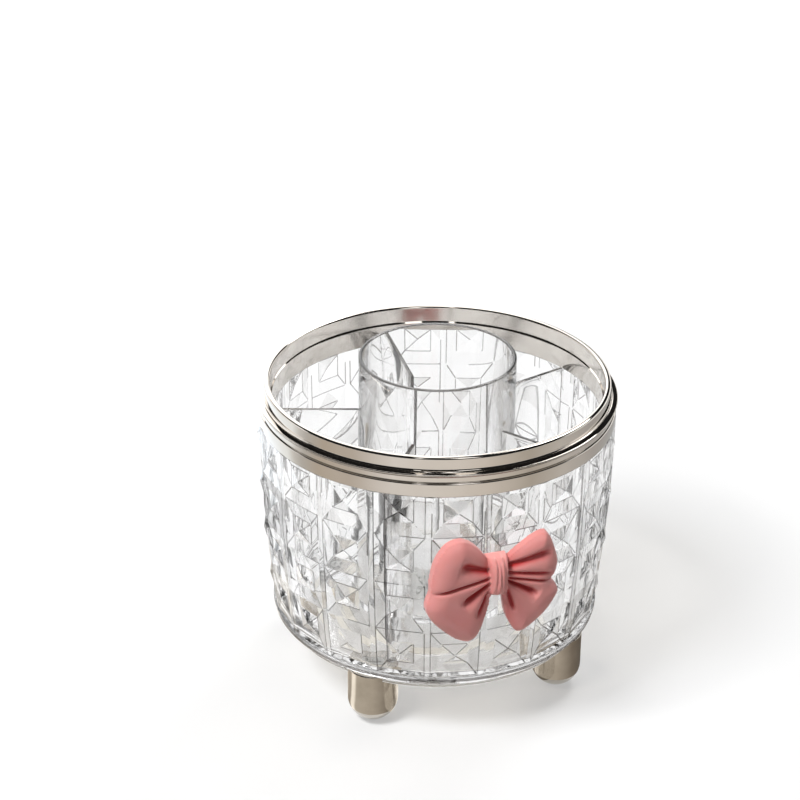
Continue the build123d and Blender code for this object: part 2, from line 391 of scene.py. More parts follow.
@dataclass
class Detail:
    """Shader node group that puts out values and colours that change over a surface.

    Args:
        name: Name of the group.
        inputs: Name and default of each input value.
        outputs: Name and socket type of each output.
        build: Fills the group from its tree, input node and output node.
    """

    name: str
    inputs: dict[str, float]
    outputs: dict[str, str]
    build: Callable[[Tree, Node, Node], None]

    def tree(self) -> Tree:
        """The group's node tree, built once."""
        made = bpy.data.node_groups.get(self.name)
        if made:
            return made
        tree = bpy.data.node_groups.new(self.name, "ShaderNodeTree")
        tree.interface.new_socket("Vector", in_out="INPUT", socket_type="NodeSocketVector")
        for label, default in self.inputs.items():
            socket = tree.interface.new_socket(label, in_out="INPUT", socket_type="NodeSocketFloat")
            socket.default_value = default
        for label, kind in self.outputs.items():
            tree.interface.new_socket(label, in_out="OUTPUT", socket_type=kind)
        self.build(tree, tree.nodes.new("NodeGroupInput"), tree.nodes.new("NodeGroupOutput"))
        return tree


def link(start: Node, output: str, end: Node, entry: str | int) -> None:
    """Joins an output of one shader node to an input of another.

    Args:
        start: The node that gives the value.
        output: Name of its output.
        end: The node that takes the value.
        entry: Name or number of its input.
    """
    start.id_data.links.new(start.outputs[output], end.inputs[entry])


def set_inputs(node: Node, values: dict[str, object]) -> None:
    """Sets inputs of a shader node by their names."""
    for label, value in values.items():
        node.inputs[label].default_value = value


def maths_node(tree: Tree, operation: str) -> Node:
    """Math node with its operation set."""
    node = tree.nodes.new("ShaderNodeMath")
    node.operation = operation
    return node


def range_node(tree: Tree, given: Point, wanted: Point) -> Node:
    """Map Range node from the given range of values to the wanted one."""
    node = tree.nodes.new("ShaderNodeMapRange")
    labels = ("From Min", "From Max", "To Min", "To Max")
    set_inputs(node, dict(zip(labels, (*given, *wanted))))
    return node


def build_surface_life(tree: Tree, source: Node, result: Node) -> None:
    """Slow waviness, fine grain and patchy polish of a moulded or plated surface.

    Args:
        tree: The group's node tree.
        source: Its input node.
        result: Its output node.
    """
    noises = []
    for label, detail in (("Wave scale", 1.5), ("Grain scale", 2.0), ("Patch scale", 3.0)):
        noise = tree.nodes.new("ShaderNodeTexNoise")
        noise.inputs["Detail"].default_value = detail
        link(source, "Vector", noise, "Vector")
        link(source, label, noise, "Scale")
        noises.append(noise)
    wave, grain, patch = noises
    height = maths_node(tree, "MULTIPLY_ADD")
    link(grain, "Fac", height, 0)
    link(source, "Grain share", height, 1)
    link(wave, "Fac", height, 2)
    spread = range_node(tree, NOISE_RANGE, (-0.5, 0.5))
    link(patch, "Fac", spread, "Value")
    rough = maths_node(tree, "MULTIPLY_ADD")
    link(spread, "Result", rough, 0)
    link(source, "Polish spread", rough, 1)
    link(source, "Polish", rough, 2)
    link(height, "Value", result, "Height")
    link(rough, "Value", result, "Roughness")
    link(patch, "Fac", result, "Patch")


SURFACE_LIFE = Detail(
    name="surface_life",
    inputs={
        "Wave scale": 60.0,
        "Grain scale": 900.0,
        "Patch scale": 90.0,
        "Grain share": 0.1,
        "Polish": 0.1,
        "Polish spread": 0.04,
    },
    outputs={
        "Height": "NodeSocketFloat",
        "Roughness": "NodeSocketFloat",
        "Patch": "NodeSocketFloat",
    },
    build=build_surface_life,
)


@dataclass(frozen=True)
class Finish:
    """Base of every finish: two close colours, a polish and a relief.

    Args:
        name: Name of the material.
        colour: Main base colour, linear.
        second: Colour of the patches.
        polish: Mean roughness.
        polish_spread: How much the roughness changes over the surface.
        wave_scale: Scale of the slow relief.
        grain_scale: Scale of the fine relief.
        patch_scale: Scale of the patches.
        relief: Depth of the relief in metres.
        settings: Constant sockets of the Principled shader.
    """

    name: str
    colour: Colour
    second: Colour
    polish: float = 0.2
    polish_spread: float = 0.05
    wave_scale: float = 60.0
    grain_scale: float = 900.0
    patch_scale: float = 90.0
    relief: float = 0.02 * MM
    settings: dict[str, float] = field(default_factory=dict)

    def material(self) -> bpy.types.Material:
        """The finish as a material, built once."""
        made = bpy.data.materials.get(self.name)
        if made:
            return made
        material = bpy.data.materials.new(self.name)
        material.use_nodes = True
        tree = material.node_tree
        shader = tree.nodes["Principled BSDF"]
        coordinates = tree.nodes.new("ShaderNodeTexCoord")
        life = tree.nodes.new("ShaderNodeGroup")
        life.node_tree = SURFACE_LIFE.tree()
        link(coordinates, "Object", life, "Vector")
        set_inputs(life, {
            "Wave scale": self.wave_scale,
            "Grain scale": self.grain_scale,
            "Patch scale": self.patch_scale,
            "Polish": self.polish,
            "Polish spread": self.polish_spread,
        })
        blend = tree.nodes.new("ShaderNodeMix")
        blend.data_type = "RGBA"
        set_inputs(blend, {"A": (*self.colour, 1.0), "B": (*self.second, 1.0)})
        link(life, "Patch", blend, "Factor")
        link(blend, "Result", shader, "Base Color")
        link(life, "Roughness", shader, "Roughness")
        bump = tree.nodes.new("ShaderNodeBump")
        set_inputs(bump, {"Strength": 1.0, "Distance": self.relief})
        link(life, "Height", bump, "Height")
        link(bump, "Normal", shader, "Normal")
        set_inputs(shader, self.settings)
        self.extend(tree, shader)
        return material

    def extend(self, tree: Tree, shader: Node) -> None:
        """Adds what one kind of finish needs beyond the rest."""


def coat(piece: Piece, *finishes: Finish) -> None:
    """Adds finishes to the material slots of a piece."""
    for finish in finishes:
        piece.data.materials.append(finish.material())


def recoat(piece: Piece, finish: Finish, wanted: Callable[..., bool]) -> None:
    """Gives some faces of a piece another one of its finishes.

    Args:
        piece: The piece, whose faces are being edited.
        finish: The finish, which has a material slot already.
        wanted: Test of one face.
    """
    pick(piece, Element.FACE, wanted)
    piece.active_material_index = piece.data.materials.find(finish.name)
    bpy.ops.object.material_slot_assign()


@dataclass(frozen=True)
class ClearPlastic(Finish):
    """Water-clear plastic that lets lamps through to the floor.

    Args:
        settings: Constant sockets of a clear material.
        shade: Colour of the shadow that the plastic throws.
    """

    settings: dict[str, float] = field(default_factory=lambda: {"Transmission Weight": 1.0, "IOR": 1.49})
    shade: Colour = (0.78, 0.765, 0.74)

    def extend(self, tree: Tree, shader: Node) -> None:
        """Lets shadow rays through with a light tint."""
        path = tree.nodes.new("ShaderNodeLightPath")
        through = tree.nodes.new("ShaderNodeBsdfTransparent")
        through.inputs["Color"].default_value = (*self.shade, 1.0)
        mix = tree.nodes.new("ShaderNodeMixShader")
        link(path, "Is Shadow Ray", mix, 0)
        link(shader, "BSDF", mix, 1)
        link(through, "BSDF", mix, 2)
        link(mix, "Shader", tree.nodes["Material Output"], "Surface")


@dataclass(frozen=True)
class Metal(Finish):
    """Bare or plated metal.

    Args:
        settings: Constant sockets of a metal.
    """

    settings: dict[str, float] = field(default_factory=lambda: {"Metallic": 1.0})


@dataclass(frozen=True)
class ResinWithPaintedShade(Finish):
    """Cast resin with a darker, redder painted shade in its creases.

    Args:
        crease: Colour of the painted shade at the bottom of a crease.
    """

    crease: Colour = (0.44, 0.03, 0.03)

    def extend(self, tree: Tree, shader: Node) -> None:
        """Blends to the painted shade colour by the piece's shade attribute."""
        depth = tree.nodes.new("ShaderNodeAttribute")
        depth.attribute_name = PAINTED_SHADE_ATTRIBUTE
        crease_shading = tree.nodes.new("ShaderNodeMix")
        crease_shading.data_type = "RGBA"
        crease_shading.inputs["B"].default_value = (*self.crease, 1.0)
        plain = shader.inputs["Base Color"].links[0].from_socket
        tree.links.new(plain, crease_shading.inputs["A"])
        link(depth, "Fac", crease_shading, "Factor")
        link(crease_shading, "Result", shader, "Base Color")


DRUM_PLASTIC = ClearPlastic(
    name="clear_cut_plastic",
    colour=(0.98, 0.982, 0.985),
    second=(1.0, 1.0, 1.0),
    polish=0.005,
    polish_spread=0.008,
    wave_scale=70.0,
    relief=0.012 * MM,
)
# Grey tint on some facets: painted shade, standing in for the dark refraction that some clear facets show.
PAINTED_SHADE_FACET = ClearPlastic(
    name="clear_plastic_shaded_facet",
    colour=(0.7, 0.695, 0.69),
    second=(0.88, 0.875, 0.87),
    polish=0.01,
    polish_spread=0.01,
    patch_scale=160.0,
    relief=0.012 * MM,
)
INSERT_PLASTIC = ClearPlastic(
    name="clear_thin_plastic",
    colour=(0.98, 0.982, 0.985),
    second=(1.0, 1.0, 1.0),
    polish=0.005,
    polish_spread=0.008,
    wave_scale=45.0,
    relief=0.015 * MM,
)
# Grey on the moulded edges between facets: painted shade, standing in for the thin dark lines that
# refraction draws there.
PAINTED_SHADE_EDGE = ClearPlastic(
    name="clear_plastic_edge",
    colour=(0.13, 0.13, 0.133),
    second=(0.34, 0.335, 0.335),
    polish=0.03,
    polish_spread=0.02,
    patch_scale=220.0,
    relief=0.01 * MM,
)
# Near black on thin edges and roundings of clear pieces: painted shade, standing in for the dark lines
# that refraction and inner reflection draw there.
PAINTED_DARK_LINE = ClearPlastic(
    name="clear_plastic_rim_edge",
    colour=(0.06, 0.056, 0.055),
    second=(0.16, 0.15, 0.145),
    polish=0.03,
    polish_spread=0.02,
    patch_scale=120.0,
    relief=0.01 * MM,
)
PLATING = Metal(
    name="warm_silver_plating",
    colour=(0.49, 0.452, 0.405),
    second=(0.56, 0.525, 0.485),
    polish=0.045,
    polish_spread=0.03,
    wave_scale=40.0,
    relief=0.008 * MM,
)
# Ring's inside: its lighter colour is painted light, standing in for the bright surroundings it mirrors;
# the higher roughness makes it satin.
INSIDE_PLATING_PAINTED_LIGHT = Metal(
    name="warm_silver_plating_inside",
    colour=(0.64, 0.6, 0.55),
    second=(0.74, 0.71, 0.67),
    polish=0.15,
    polish_spread=0.07,
    wave_scale=40.0,
    relief=0.01 * MM,
)
FOOT_PLATING = Metal(
    name="champagne_plating",
    colour=(0.43, 0.395, 0.345),
    second=(0.72, 0.68, 0.62),
    polish=0.07,
    polish_spread=0.05,
    wave_scale=60.0,
    patch_scale=130.0,
    relief=0.02 * MM,
)
ZINC = Metal(
    name="zinc_plated_steel",
    colour=(0.52, 0.52, 0.51),
    second=(0.62, 0.62, 0.6),
    polish=0.3,
    polish_spread=0.12,
)
# The bow's creases and wing roots get a painted shade through its crease attribute.
PINK_RESIN = ResinWithPaintedShade(
    name="satin_pink_resin",
    colour=(0.62, 0.225, 0.212),
    second=(0.68, 0.27, 0.25),
    polish=0.36,
    polish_spread=0.1,
    wave_scale=180.0,
    patch_scale=140.0,
    relief=0.03 * MM,
    settings={
        "Subsurface Weight": 0.12,
        "Subsurface Scale": 0.002,
        "Specular IOR Level": 0.45,
        "Sheen Weight": 0.12,
        "Sheen Roughness": 0.45,
    },
)
SLIP_PLASTIC = Finish(
    name="natural_slip_plastic",
    colour=(0.82, 0.82, 0.79),
    second=(0.87, 0.87, 0.85),
    polish=0.45,
    polish_spread=0.1,
)


@dataclass
class Subassembly:
    """Pieces that are built, coated and mounted together.

    Args:
        body: The CAD body that the pieces ride on.
    """

    body: str

    def mount(self, piece: Piece, finish: Finish, slot: str, *nodes: str) -> None:
        """Coats a finished piece that has no finish yet and puts it in its CAD nodes' place.

        Args:
            piece: The finished piece.
            finish: Its main finish.
            slot: Name of a material slot; not used.
            nodes: The CAD nodes that it stands for.
        """
        if not piece.data.materials:
            coat(piece, finish)
        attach(piece, self.body)
        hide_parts(*nodes)
        log.info("%s: %d faces on %s", piece.name, len(piece.data.polygons), self.body)


@dataclass
class Drum(Subassembly):
    """Clear drum with the diamond-cut wall.

    Args:
        wall: Barrel curve of the wall.
        columns: Cells around.
        pitch: Height of a cell.
        start_angle: Angle of the first column's edge.
        pillar_angle: Width of the pillar between two columns, in degrees.
        pillar_depth: Depth of the pillars below the crest.
        middle_depth: Depth of the top and bottom middle of a cell.
        inner_depth: Depth of the four inner corners of a cell.
        inner_width: Width of the inner rectangle as a share of the cell.
        inner_height: Height of the inner rectangle as a share of the cell.
        edge_break: Width of the moulded edge between two facets.
        edge_angle: Angle between facets above which the edge is broken, in degrees.
        painted_shade_share: Share of the facets that get a grey painted shade, standing in for the dark
            refraction seen through some facets.
        facet_seed: Seed that picks them.
        clear_edges: Share of the moulded edges that stay clear, without painted shade.
        shade_line_share: Share of the other edges that get a darker painted shade line.
        rim_lines: Slopes of the base rim's roundings that get dark lines of painted shade.
        rim_reach: How far in from the base rim's radius they are looked for.
        rim_margin: How far above the foot of the wall.
        floor: Height of the drum's floor.
        underside: Height of the drum's underside.
        floor_corner: Radius between floor and wall.
        overlap: How far bodies run into each other before they are joined.
        hole_radius: Hole in the floor round the pivot boss.
        tongue: Inner and outer radius of the tongue inside the ring.
        tongue_top: Height of the tongue's top.
        smooth_angle: Angle below which turned faces are shaded as one, in degrees.
    """

    wall: WallCurve = field(default_factory=WallCurve)
    columns: int = 20
    pitch: float = 18.2 * MM
    start_angle: float = 16.0
    pillar_angle: float = 2.0
    pillar_depth: float = 0.4 * MM
    middle_depth: float = 0.75 * MM
    inner_depth: float = 1.05 * MM
    inner_width: float = 0.5
    inner_height: float = 0.45
    edge_break: float = 0.2 * MM
    edge_angle: float = 2.5
    painted_shade_share: float = 0.1
    facet_seed: int = 5
    clear_edges: float = 0.5
    shade_line_share: float = 0.42
    rim_lines: Sequence[Point] = ((-0.92, -0.7), (-0.36, -0.12), (0.25, 0.92))
    rim_reach: float = 1.5 * MM
    rim_margin: float = 0.05 * MM
    floor: float = 23.8 * MM
    underside: float = 20.8 * MM
    floor_corner: float = 2.5 * MM
    overlap: float = 1.0 * MM
    hole_radius: float = 5.3 * MM
    tongue: Point = (56.3 * MM, 58.0 * MM)
    tongue_top: float = 102.4 * MM
    smooth_angle: float = 12.0

    def build(self) -> None:
        """Builds the drum from its cut block, base rim and tongue."""
        lathe = Lathe()
        drum = self.cut_block()
        base_rim = lathe.turn("base_rim", section(
            (0.0, self.wall.crest(self.wall.foot)),
            (self.underside, self.wall.foot),
            (SHARP, BOLD, BROKEN, SHARP),
        ))
        apply_boolean(drum, base_rim, "UNION")
        tongue = lathe.turn("tongue", section(
            (0.0, self.tongue[1]),
            (self.wall.top - self.overlap, self.tongue_top),
        ))
        apply_boolean(drum, tongue, "UNION")
        apply_boolean(drum, self.cavity(lathe), "DIFFERENCE")
        self.shade(drum)
        self.paint_rim_shade_lines(drum)
        self.mount(drum, DRUM_PLASTIC, "clear_plastic", "drum_bucket")

    def paint_rim_shade_lines(self, drum: Piece) -> None:
        """Paints dark lines of shade on the roundings of the base rim."""
        reach = self.wall.crest(self.wall.foot) - self.rim_reach
        top = self.wall.foot + self.rim_margin

        def is_rounding(face: Face) -> bool:
            centre = face.calc_center_median()
            on_line = any(low < face.normal.z < high for low, high in self.rim_lines)
            return centre.z < top and centre.xy.length > reach and on_line

        with editing(drum, Element.FACE):
            recoat(drum, PAINTED_DARK_LINE, is_rounding)

    def cavity(self, lathe: Lathe) -> Piece:
        """Body of the room inside the drum, with the hole in its floor.

        Args:
            lathe: What turns it.

        Returns:
            The body.
        """
        steps = 14
        corner_top = self.floor + self.floor_corner
        corner_radius = self.wall.inside(corner_top)
        above = self.tongue_top + self.overlap
        below = self.underside - self.overlap
        outline = [
            (0.0, below, SHARP),
            (self.hole_radius, below, SHARP),
            (self.hole_radius, self.floor, EASED),
            (corner_radius, self.floor, ROUND),
        ]
        for step in range(1, steps + 1):
            z = corner_top + (self.wall.top - corner_top) * step / steps
            outline.append((self.wall.inside(z), z, SHARP))
        outline += [
            (self.tongue[0], self.wall.top, SHARP),
            (self.tongue[0], above, SHARP),
            (0.0, above, SHARP),
        ]
        return lathe.turn("cavity", outline)

    def cut_block(self) -> Piece:
        """Solid block with the diamond cut round it, up to the ring."""
        rows = math.ceil((self.wall.top - self.wall.foot) / self.pitch)
        deselect()
        bpy.ops.mesh.primitive_grid_add(x_subdivisions=2, y_subdivisions=2 * rows, size=1.0)
        block = named("drum")
        coat(block, DRUM_PLASTIC, PAINTED_SHADE_EDGE, PAINTED_DARK_LINE, PAINTED_SHADE_FACET)
        self.cut_cells(block, rows)
        self.wrap(block, rows)
        with editing(block):
            select_all()
            bpy.ops.mesh.spin(steps=self.columns, angle=math.tau, dupli=True, center=CENTRE, axis=AXIS)
            merge_doubles()
            pick(block, Element.EDGE, lambda edge: edge.is_boundary and self.at_foot(edge))
            extrude((0.0, 0.0, -self.overlap))
            select_all()
            bpy.ops.mesh.fill_holes(sides=0)
            face_out()
        self.break_edges(block)
        with editing(block):
            select_all()
            bpy.ops.mesh.bisect(
                plane_co=(0.0, 0.0, self.wall.top), plane_no=AXIS, use_fill=True, clear_outer=True
            )
        return block

    def break_edges(self, block: Piece) -> None:
        """Moulds the edges between facets and paints shade: a grey tint on some facets, grey or darker
        lines on some edges.

        Args:
            block: The closed block with its cut.
        """
        chance = random.Random(self.facet_seed)

        # Painted shade: a share of the upright facets gets the grey tint.
        def is_painted_shade(face: Face) -> bool:
            return abs(face.normal.z) < SQUARE_ON and chance.random() < self.painted_shade_share

        with editing(block, Element.FACE):
            recoat(block, PAINTED_SHADE_FACET, is_painted_shade)
        shade_edge_index = block.data.materials.find(PAINTED_SHADE_EDGE.name)
        activate(block)
        bevel = block.modifiers.new("Moulded edges", "BEVEL")
        bevel.width = self.edge_break
        bevel.segments = 1
        bevel.limit_method = "ANGLE"
        bevel.angle_limit = math.radians(self.edge_angle)
        # The new edge faces get the grey painted shade.
        bevel.material = shade_edge_index
        bpy.ops.object.modifier_apply(modifier=bevel.name)

        def is_picked_edge(face: Face, share: float) -> bool:
            return face.material_index == shade_edge_index and chance.random() < share

        with editing(block, Element.FACE):
            # Some moulded edges go back to clear; some of the rest get the darker painted shade line.
            recoat(block, DRUM_PLASTIC, lambda face: is_picked_edge(face, self.clear_edges))
            recoat(block, PAINTED_DARK_LINE, lambda face: is_picked_edge(face, self.shade_line_share))

    def at_foot(self, edge: Edge) -> bool:
        """Whether an edge lies at the foot of the wall."""
        return all(abs(vert.co.z - self.wall.foot) < MERGE_DISTANCE for vert in edge.verts)

    def cut_cells(self, block: Piece, rows: int) -> None:
        """Pokes each quarter of a cell and turns the edges round the crest.

        Args:
            block: The grid of one column, one unit wide and high.
            rows: Cells in the column.
        """

        def is_crest(vert: Vert) -> bool:
            row = (vert.co.y + 0.5) * rows % 1.0
            return abs(vert.co.x) < NEAR and abs(row - 0.5) < NEAR

        def is_poked(vert: Vert) -> bool:
            return abs(abs(vert.co.x) - QUARTER) < NEAR

        def is_turned(edge: Edge) -> bool:
            return any(map(is_crest, edge.verts)) and not any(map(is_poked, edge.verts))

        with editing(block, Element.FACE):
            select_all()
            bpy.ops.mesh.poke()
            bpy.ops.mesh.select_mode(type="EDGE")
            pick(block, Element.EDGE, is_turned)
            bpy.ops.mesh.edge_rotate(use_ccw=False)
            pick(block, Element.EDGE, lambda edge: all(vert.co.x > 0.5 - NEAR for vert in edge.verts))
            extrude((QUARTER, 0.0, 0.0))

    def wrap(self, block: Piece, rows: int) -> None:
        """Puts each point of the flat column at its place and depth on the wall.

        Args:
            block: The cut column, one unit wide and high.
            rows: Cells in the column.
        """
        step = 360.0 / self.columns
        half_pillar = self.pillar_angle / step / 2
        for vert in block.data.vertices:
            across, up = vert.co.x, (vert.co.y + 0.5) * rows
            row = min(math.floor(up + NEAR), rows)
            share = up - row
            depth = self.pillar_depth
            if across > 0.5 + NEAR:
                column = 1.0 + half_pillar
            elif abs(abs(across) - QUARTER) < NEAR:
                column = 0.5 + math.copysign(self.inner_width / 2, across)
                share = 0.5 + math.copysign(self.inner_height / 2, share - 0.5)
                depth = self.inner_depth
            elif abs(across) < NEAR:
                column = 0.5
                depth = 0.0 if abs(share - 0.5) < NEAR else self.middle_depth
            else:
                column = 0.5 + math.copysign(0.5 - half_pillar, across)
            z = self.wall.foot + (row + share) * self.pitch
            vert.co = polar(self.wall.crest(z) - depth, self.start_angle + column * step, z)

    def shade(self, drum: Piece) -> None:
        """Facets flat, turned faces smooth."""
        smooth(drum, self.smooth_angle)
        half_wall = self.wall.thickness / 2
        for face in drum.data.polygons:
            level = face.center.z
            outer = face.center.xy.length > self.wall.inside(level) + half_wall
            if outer and self.wall.foot < level < self.wall.top:
                face.use_smooth = False


# Radius and depth under the lip, both in mm, from the lip down the outside and up the inside.
RING_OUTLINE = (
    (57.7, 0.0, FULL),
    (57.72, 3.8, SHARP),
    (57.78, 4.25, SHARP),
    (58.0, 4.6, SHARP),
    (58.4, 4.85, SHARP),
    (60.0, 4.9, EASED),
    (60.0, 5.6, EASED),
    (59.2, 6.1, BROKEN),
    (59.2, 7.8, BROKEN),
    (58.95, 8.05, BROKEN),
    (59.6, 8.35, EASED),
    (59.6, 13.0, EASED),
    (58.15, 13.0, BROKEN),
    (58.15, 4.5, SHARP),
    (56.15, 4.5, SHARP),
    (56.15, 13.0, BROKEN),
    (55.05, 13.0, BROKEN),
    (55.05, 6.2, BROKEN),
    (55.6, 5.6, BROKEN),
    (55.6, 0.0, FULL),
)


@dataclass
class RimRing(Subassembly):
    """Plated ring with lip, band, cove, flange, bead and skirt.

    Args:
        lip: Height of the lip.
        inward: Normal times place below which a face belongs to the satin inside, whose lighter plating
            colour is a painted reflection of bright surroundings.
    """

    lip: float = 107.0 * MM
    inward: float = -0.02

    def build(self) -> None:
        """Turns the ring from its outline."""
        ring = Lathe(steps=256).turn("rim_ring_plated", [
            (radius * MM, self.lip - depth * MM, rounding) for radius, depth, rounding in RING_OUTLINE
        ])
        coat(ring, PLATING, INSIDE_PLATING_PAINTED_LIGHT)

        def is_inside(face: Face) -> bool:
            return face.normal.dot(face.calc_center_median()) < self.inward

        # The inside faces get the lighter, painted-light plating.
        with editing(ring, Element.FACE):
            recoat(ring, INSIDE_PLATING_PAINTED_LIGHT, is_inside)
        self.mount(ring, PLATING, "plated", "rim_ring")


@dataclass
class Insert(Subassembly):
    """Centre cup with five dividers.

    Args:
        wall: Barrel curve of the drum's wall.
        cup_radius: Outer radius of the cup.
        cup_wall: Wall of the cup.
        cup_floor: Thickness of the cup's floor.
        cup_bottom: Height of the cup's underside.
        cup_rim: Height of the cup's rim.
        divider_count: How many dividers there are.
        first_angle: Angle of the first divider.
        thickness: Thickness of a divider.
        divider_top: Height of a divider's top edge.
        floor: Height of the drum's floor.
        wall_gap: Gap between divider and wall.
        corner: Cut corner at a divider's foot.
        joint_gap: Gap between divider and cup.
        edge_round: Rounding of a divider's edges.
        edge_angle: Angle between faces from which an edge is rounded, in degrees.
        smooth_angle: Angle below which faces are shaded as one, in degrees.
    """

    wall: WallCurve = field(default_factory=WallCurve)
    cup_radius: float = 26.2 * MM
    cup_wall: float = 1.3 * MM
    cup_floor: float = 2.0 * MM
    cup_bottom: float = 27.2 * MM
    cup_rim: float = 114.3 * MM
    divider_count: int = 5
    first_angle: float = 37.5
    thickness: float = 1.3 * MM
    divider_top: float = 94.4 * MM
    floor: float = 23.8 * MM
    wall_gap: float = 0.4 * MM
    corner: float = 3.0 * MM
    joint_gap: float = 0.04 * MM
    edge_round: float = 0.25 * MM
    edge_angle: float = 40.0
    smooth_angle: float = 50.0

    def build(self) -> None:
        """Builds the cup and the dividers."""
        inner = self.cup_radius - self.cup_wall
        inner_floor = self.cup_bottom + self.cup_floor
        cup = Lathe().turn("centre_cup_clear", [
            (0.0, self.cup_bottom, SHARP),
            (self.cup_radius, self.cup_bottom, EASED),
            (self.cup_radius, self.cup_rim, SOFT),
            (inner, self.cup_rim, SOFT),
            (inner, inner_floor, FULL),
            (0.0, inner_floor, SHARP),
        ])
        coat(cup, INSERT_PLASTIC, PAINTED_DARK_LINE)
        lip = self.cup_rim - SOFT.value
        # Painted shade: a dark line round the cup's lip.
        with editing(cup, Element.FACE):
            recoat(cup, PAINTED_DARK_LINE, lambda face: face.calc_center_median().z > lip)
        self.mount(cup, INSERT_PLASTIC, "clear_plastic", "center_cup")
        label, step = "divider_clear", -360.0 / self.divider_count
        dividers = repeated(self.divider(f"{label}_1"), label, self.divider_count, step)
        for index, piece in enumerate(dividers):
            self.mount(piece, INSERT_PLASTIC, "clear_plastic", f"divider_{index + 1}")

    def divider(self, name: str) -> Piece:
        """First divider: its outline filled, thickened and eased at its edges.

        Args:
            name: Name of the piece.

        Returns:
            The divider in its place.
        """
        steps = 10
        corner_top = self.floor + self.corner
        start = self.cup_radius + self.joint_gap
        side = self.thickness / 2
        foot = self.floor + CONTACT_GAP
        outline = [(start, foot), (self.wall.inside(corner_top) - self.wall_gap - self.corner, foot)]
        for step in range(steps + 1):
            z = corner_top + (self.divider_top - corner_top) * step / steps
            outline.append((self.wall.inside(z) - self.wall_gap, z))
        outline.append((start, self.divider_top))
        piece = wire(name, [(radius, -side, z) for radius, z in outline])
        coat(piece, INSERT_PLASTIC, PAINTED_DARK_LINE)
        least_angle = math.radians(self.edge_angle)
        with editing(piece):
            select_all()
            bpy.ops.mesh.edge_face_add()
            extrude((0.0, self.thickness, 0.0))
            face_out()
            bpy.ops.mesh.select_mode(type="EDGE")
            pick(piece, Element.EDGE, lambda edge: edge.calc_face_angle(0.0) > least_angle)
            bpy.ops.mesh.bevel(offset=self.edge_round, segments=2, affect="EDGES", clamp_overlap=True)
            bpy.ops.mesh.select_mode(type="FACE")
            # Painted shade: dark lines on the divider's thin edges.
            recoat(piece, PAINTED_DARK_LINE, lambda face: abs(face.normal.y) < SQUARE_ON)
        turn_upright(piece, self.first_angle)
        smooth(piece, self.smooth_angle)
        return piece


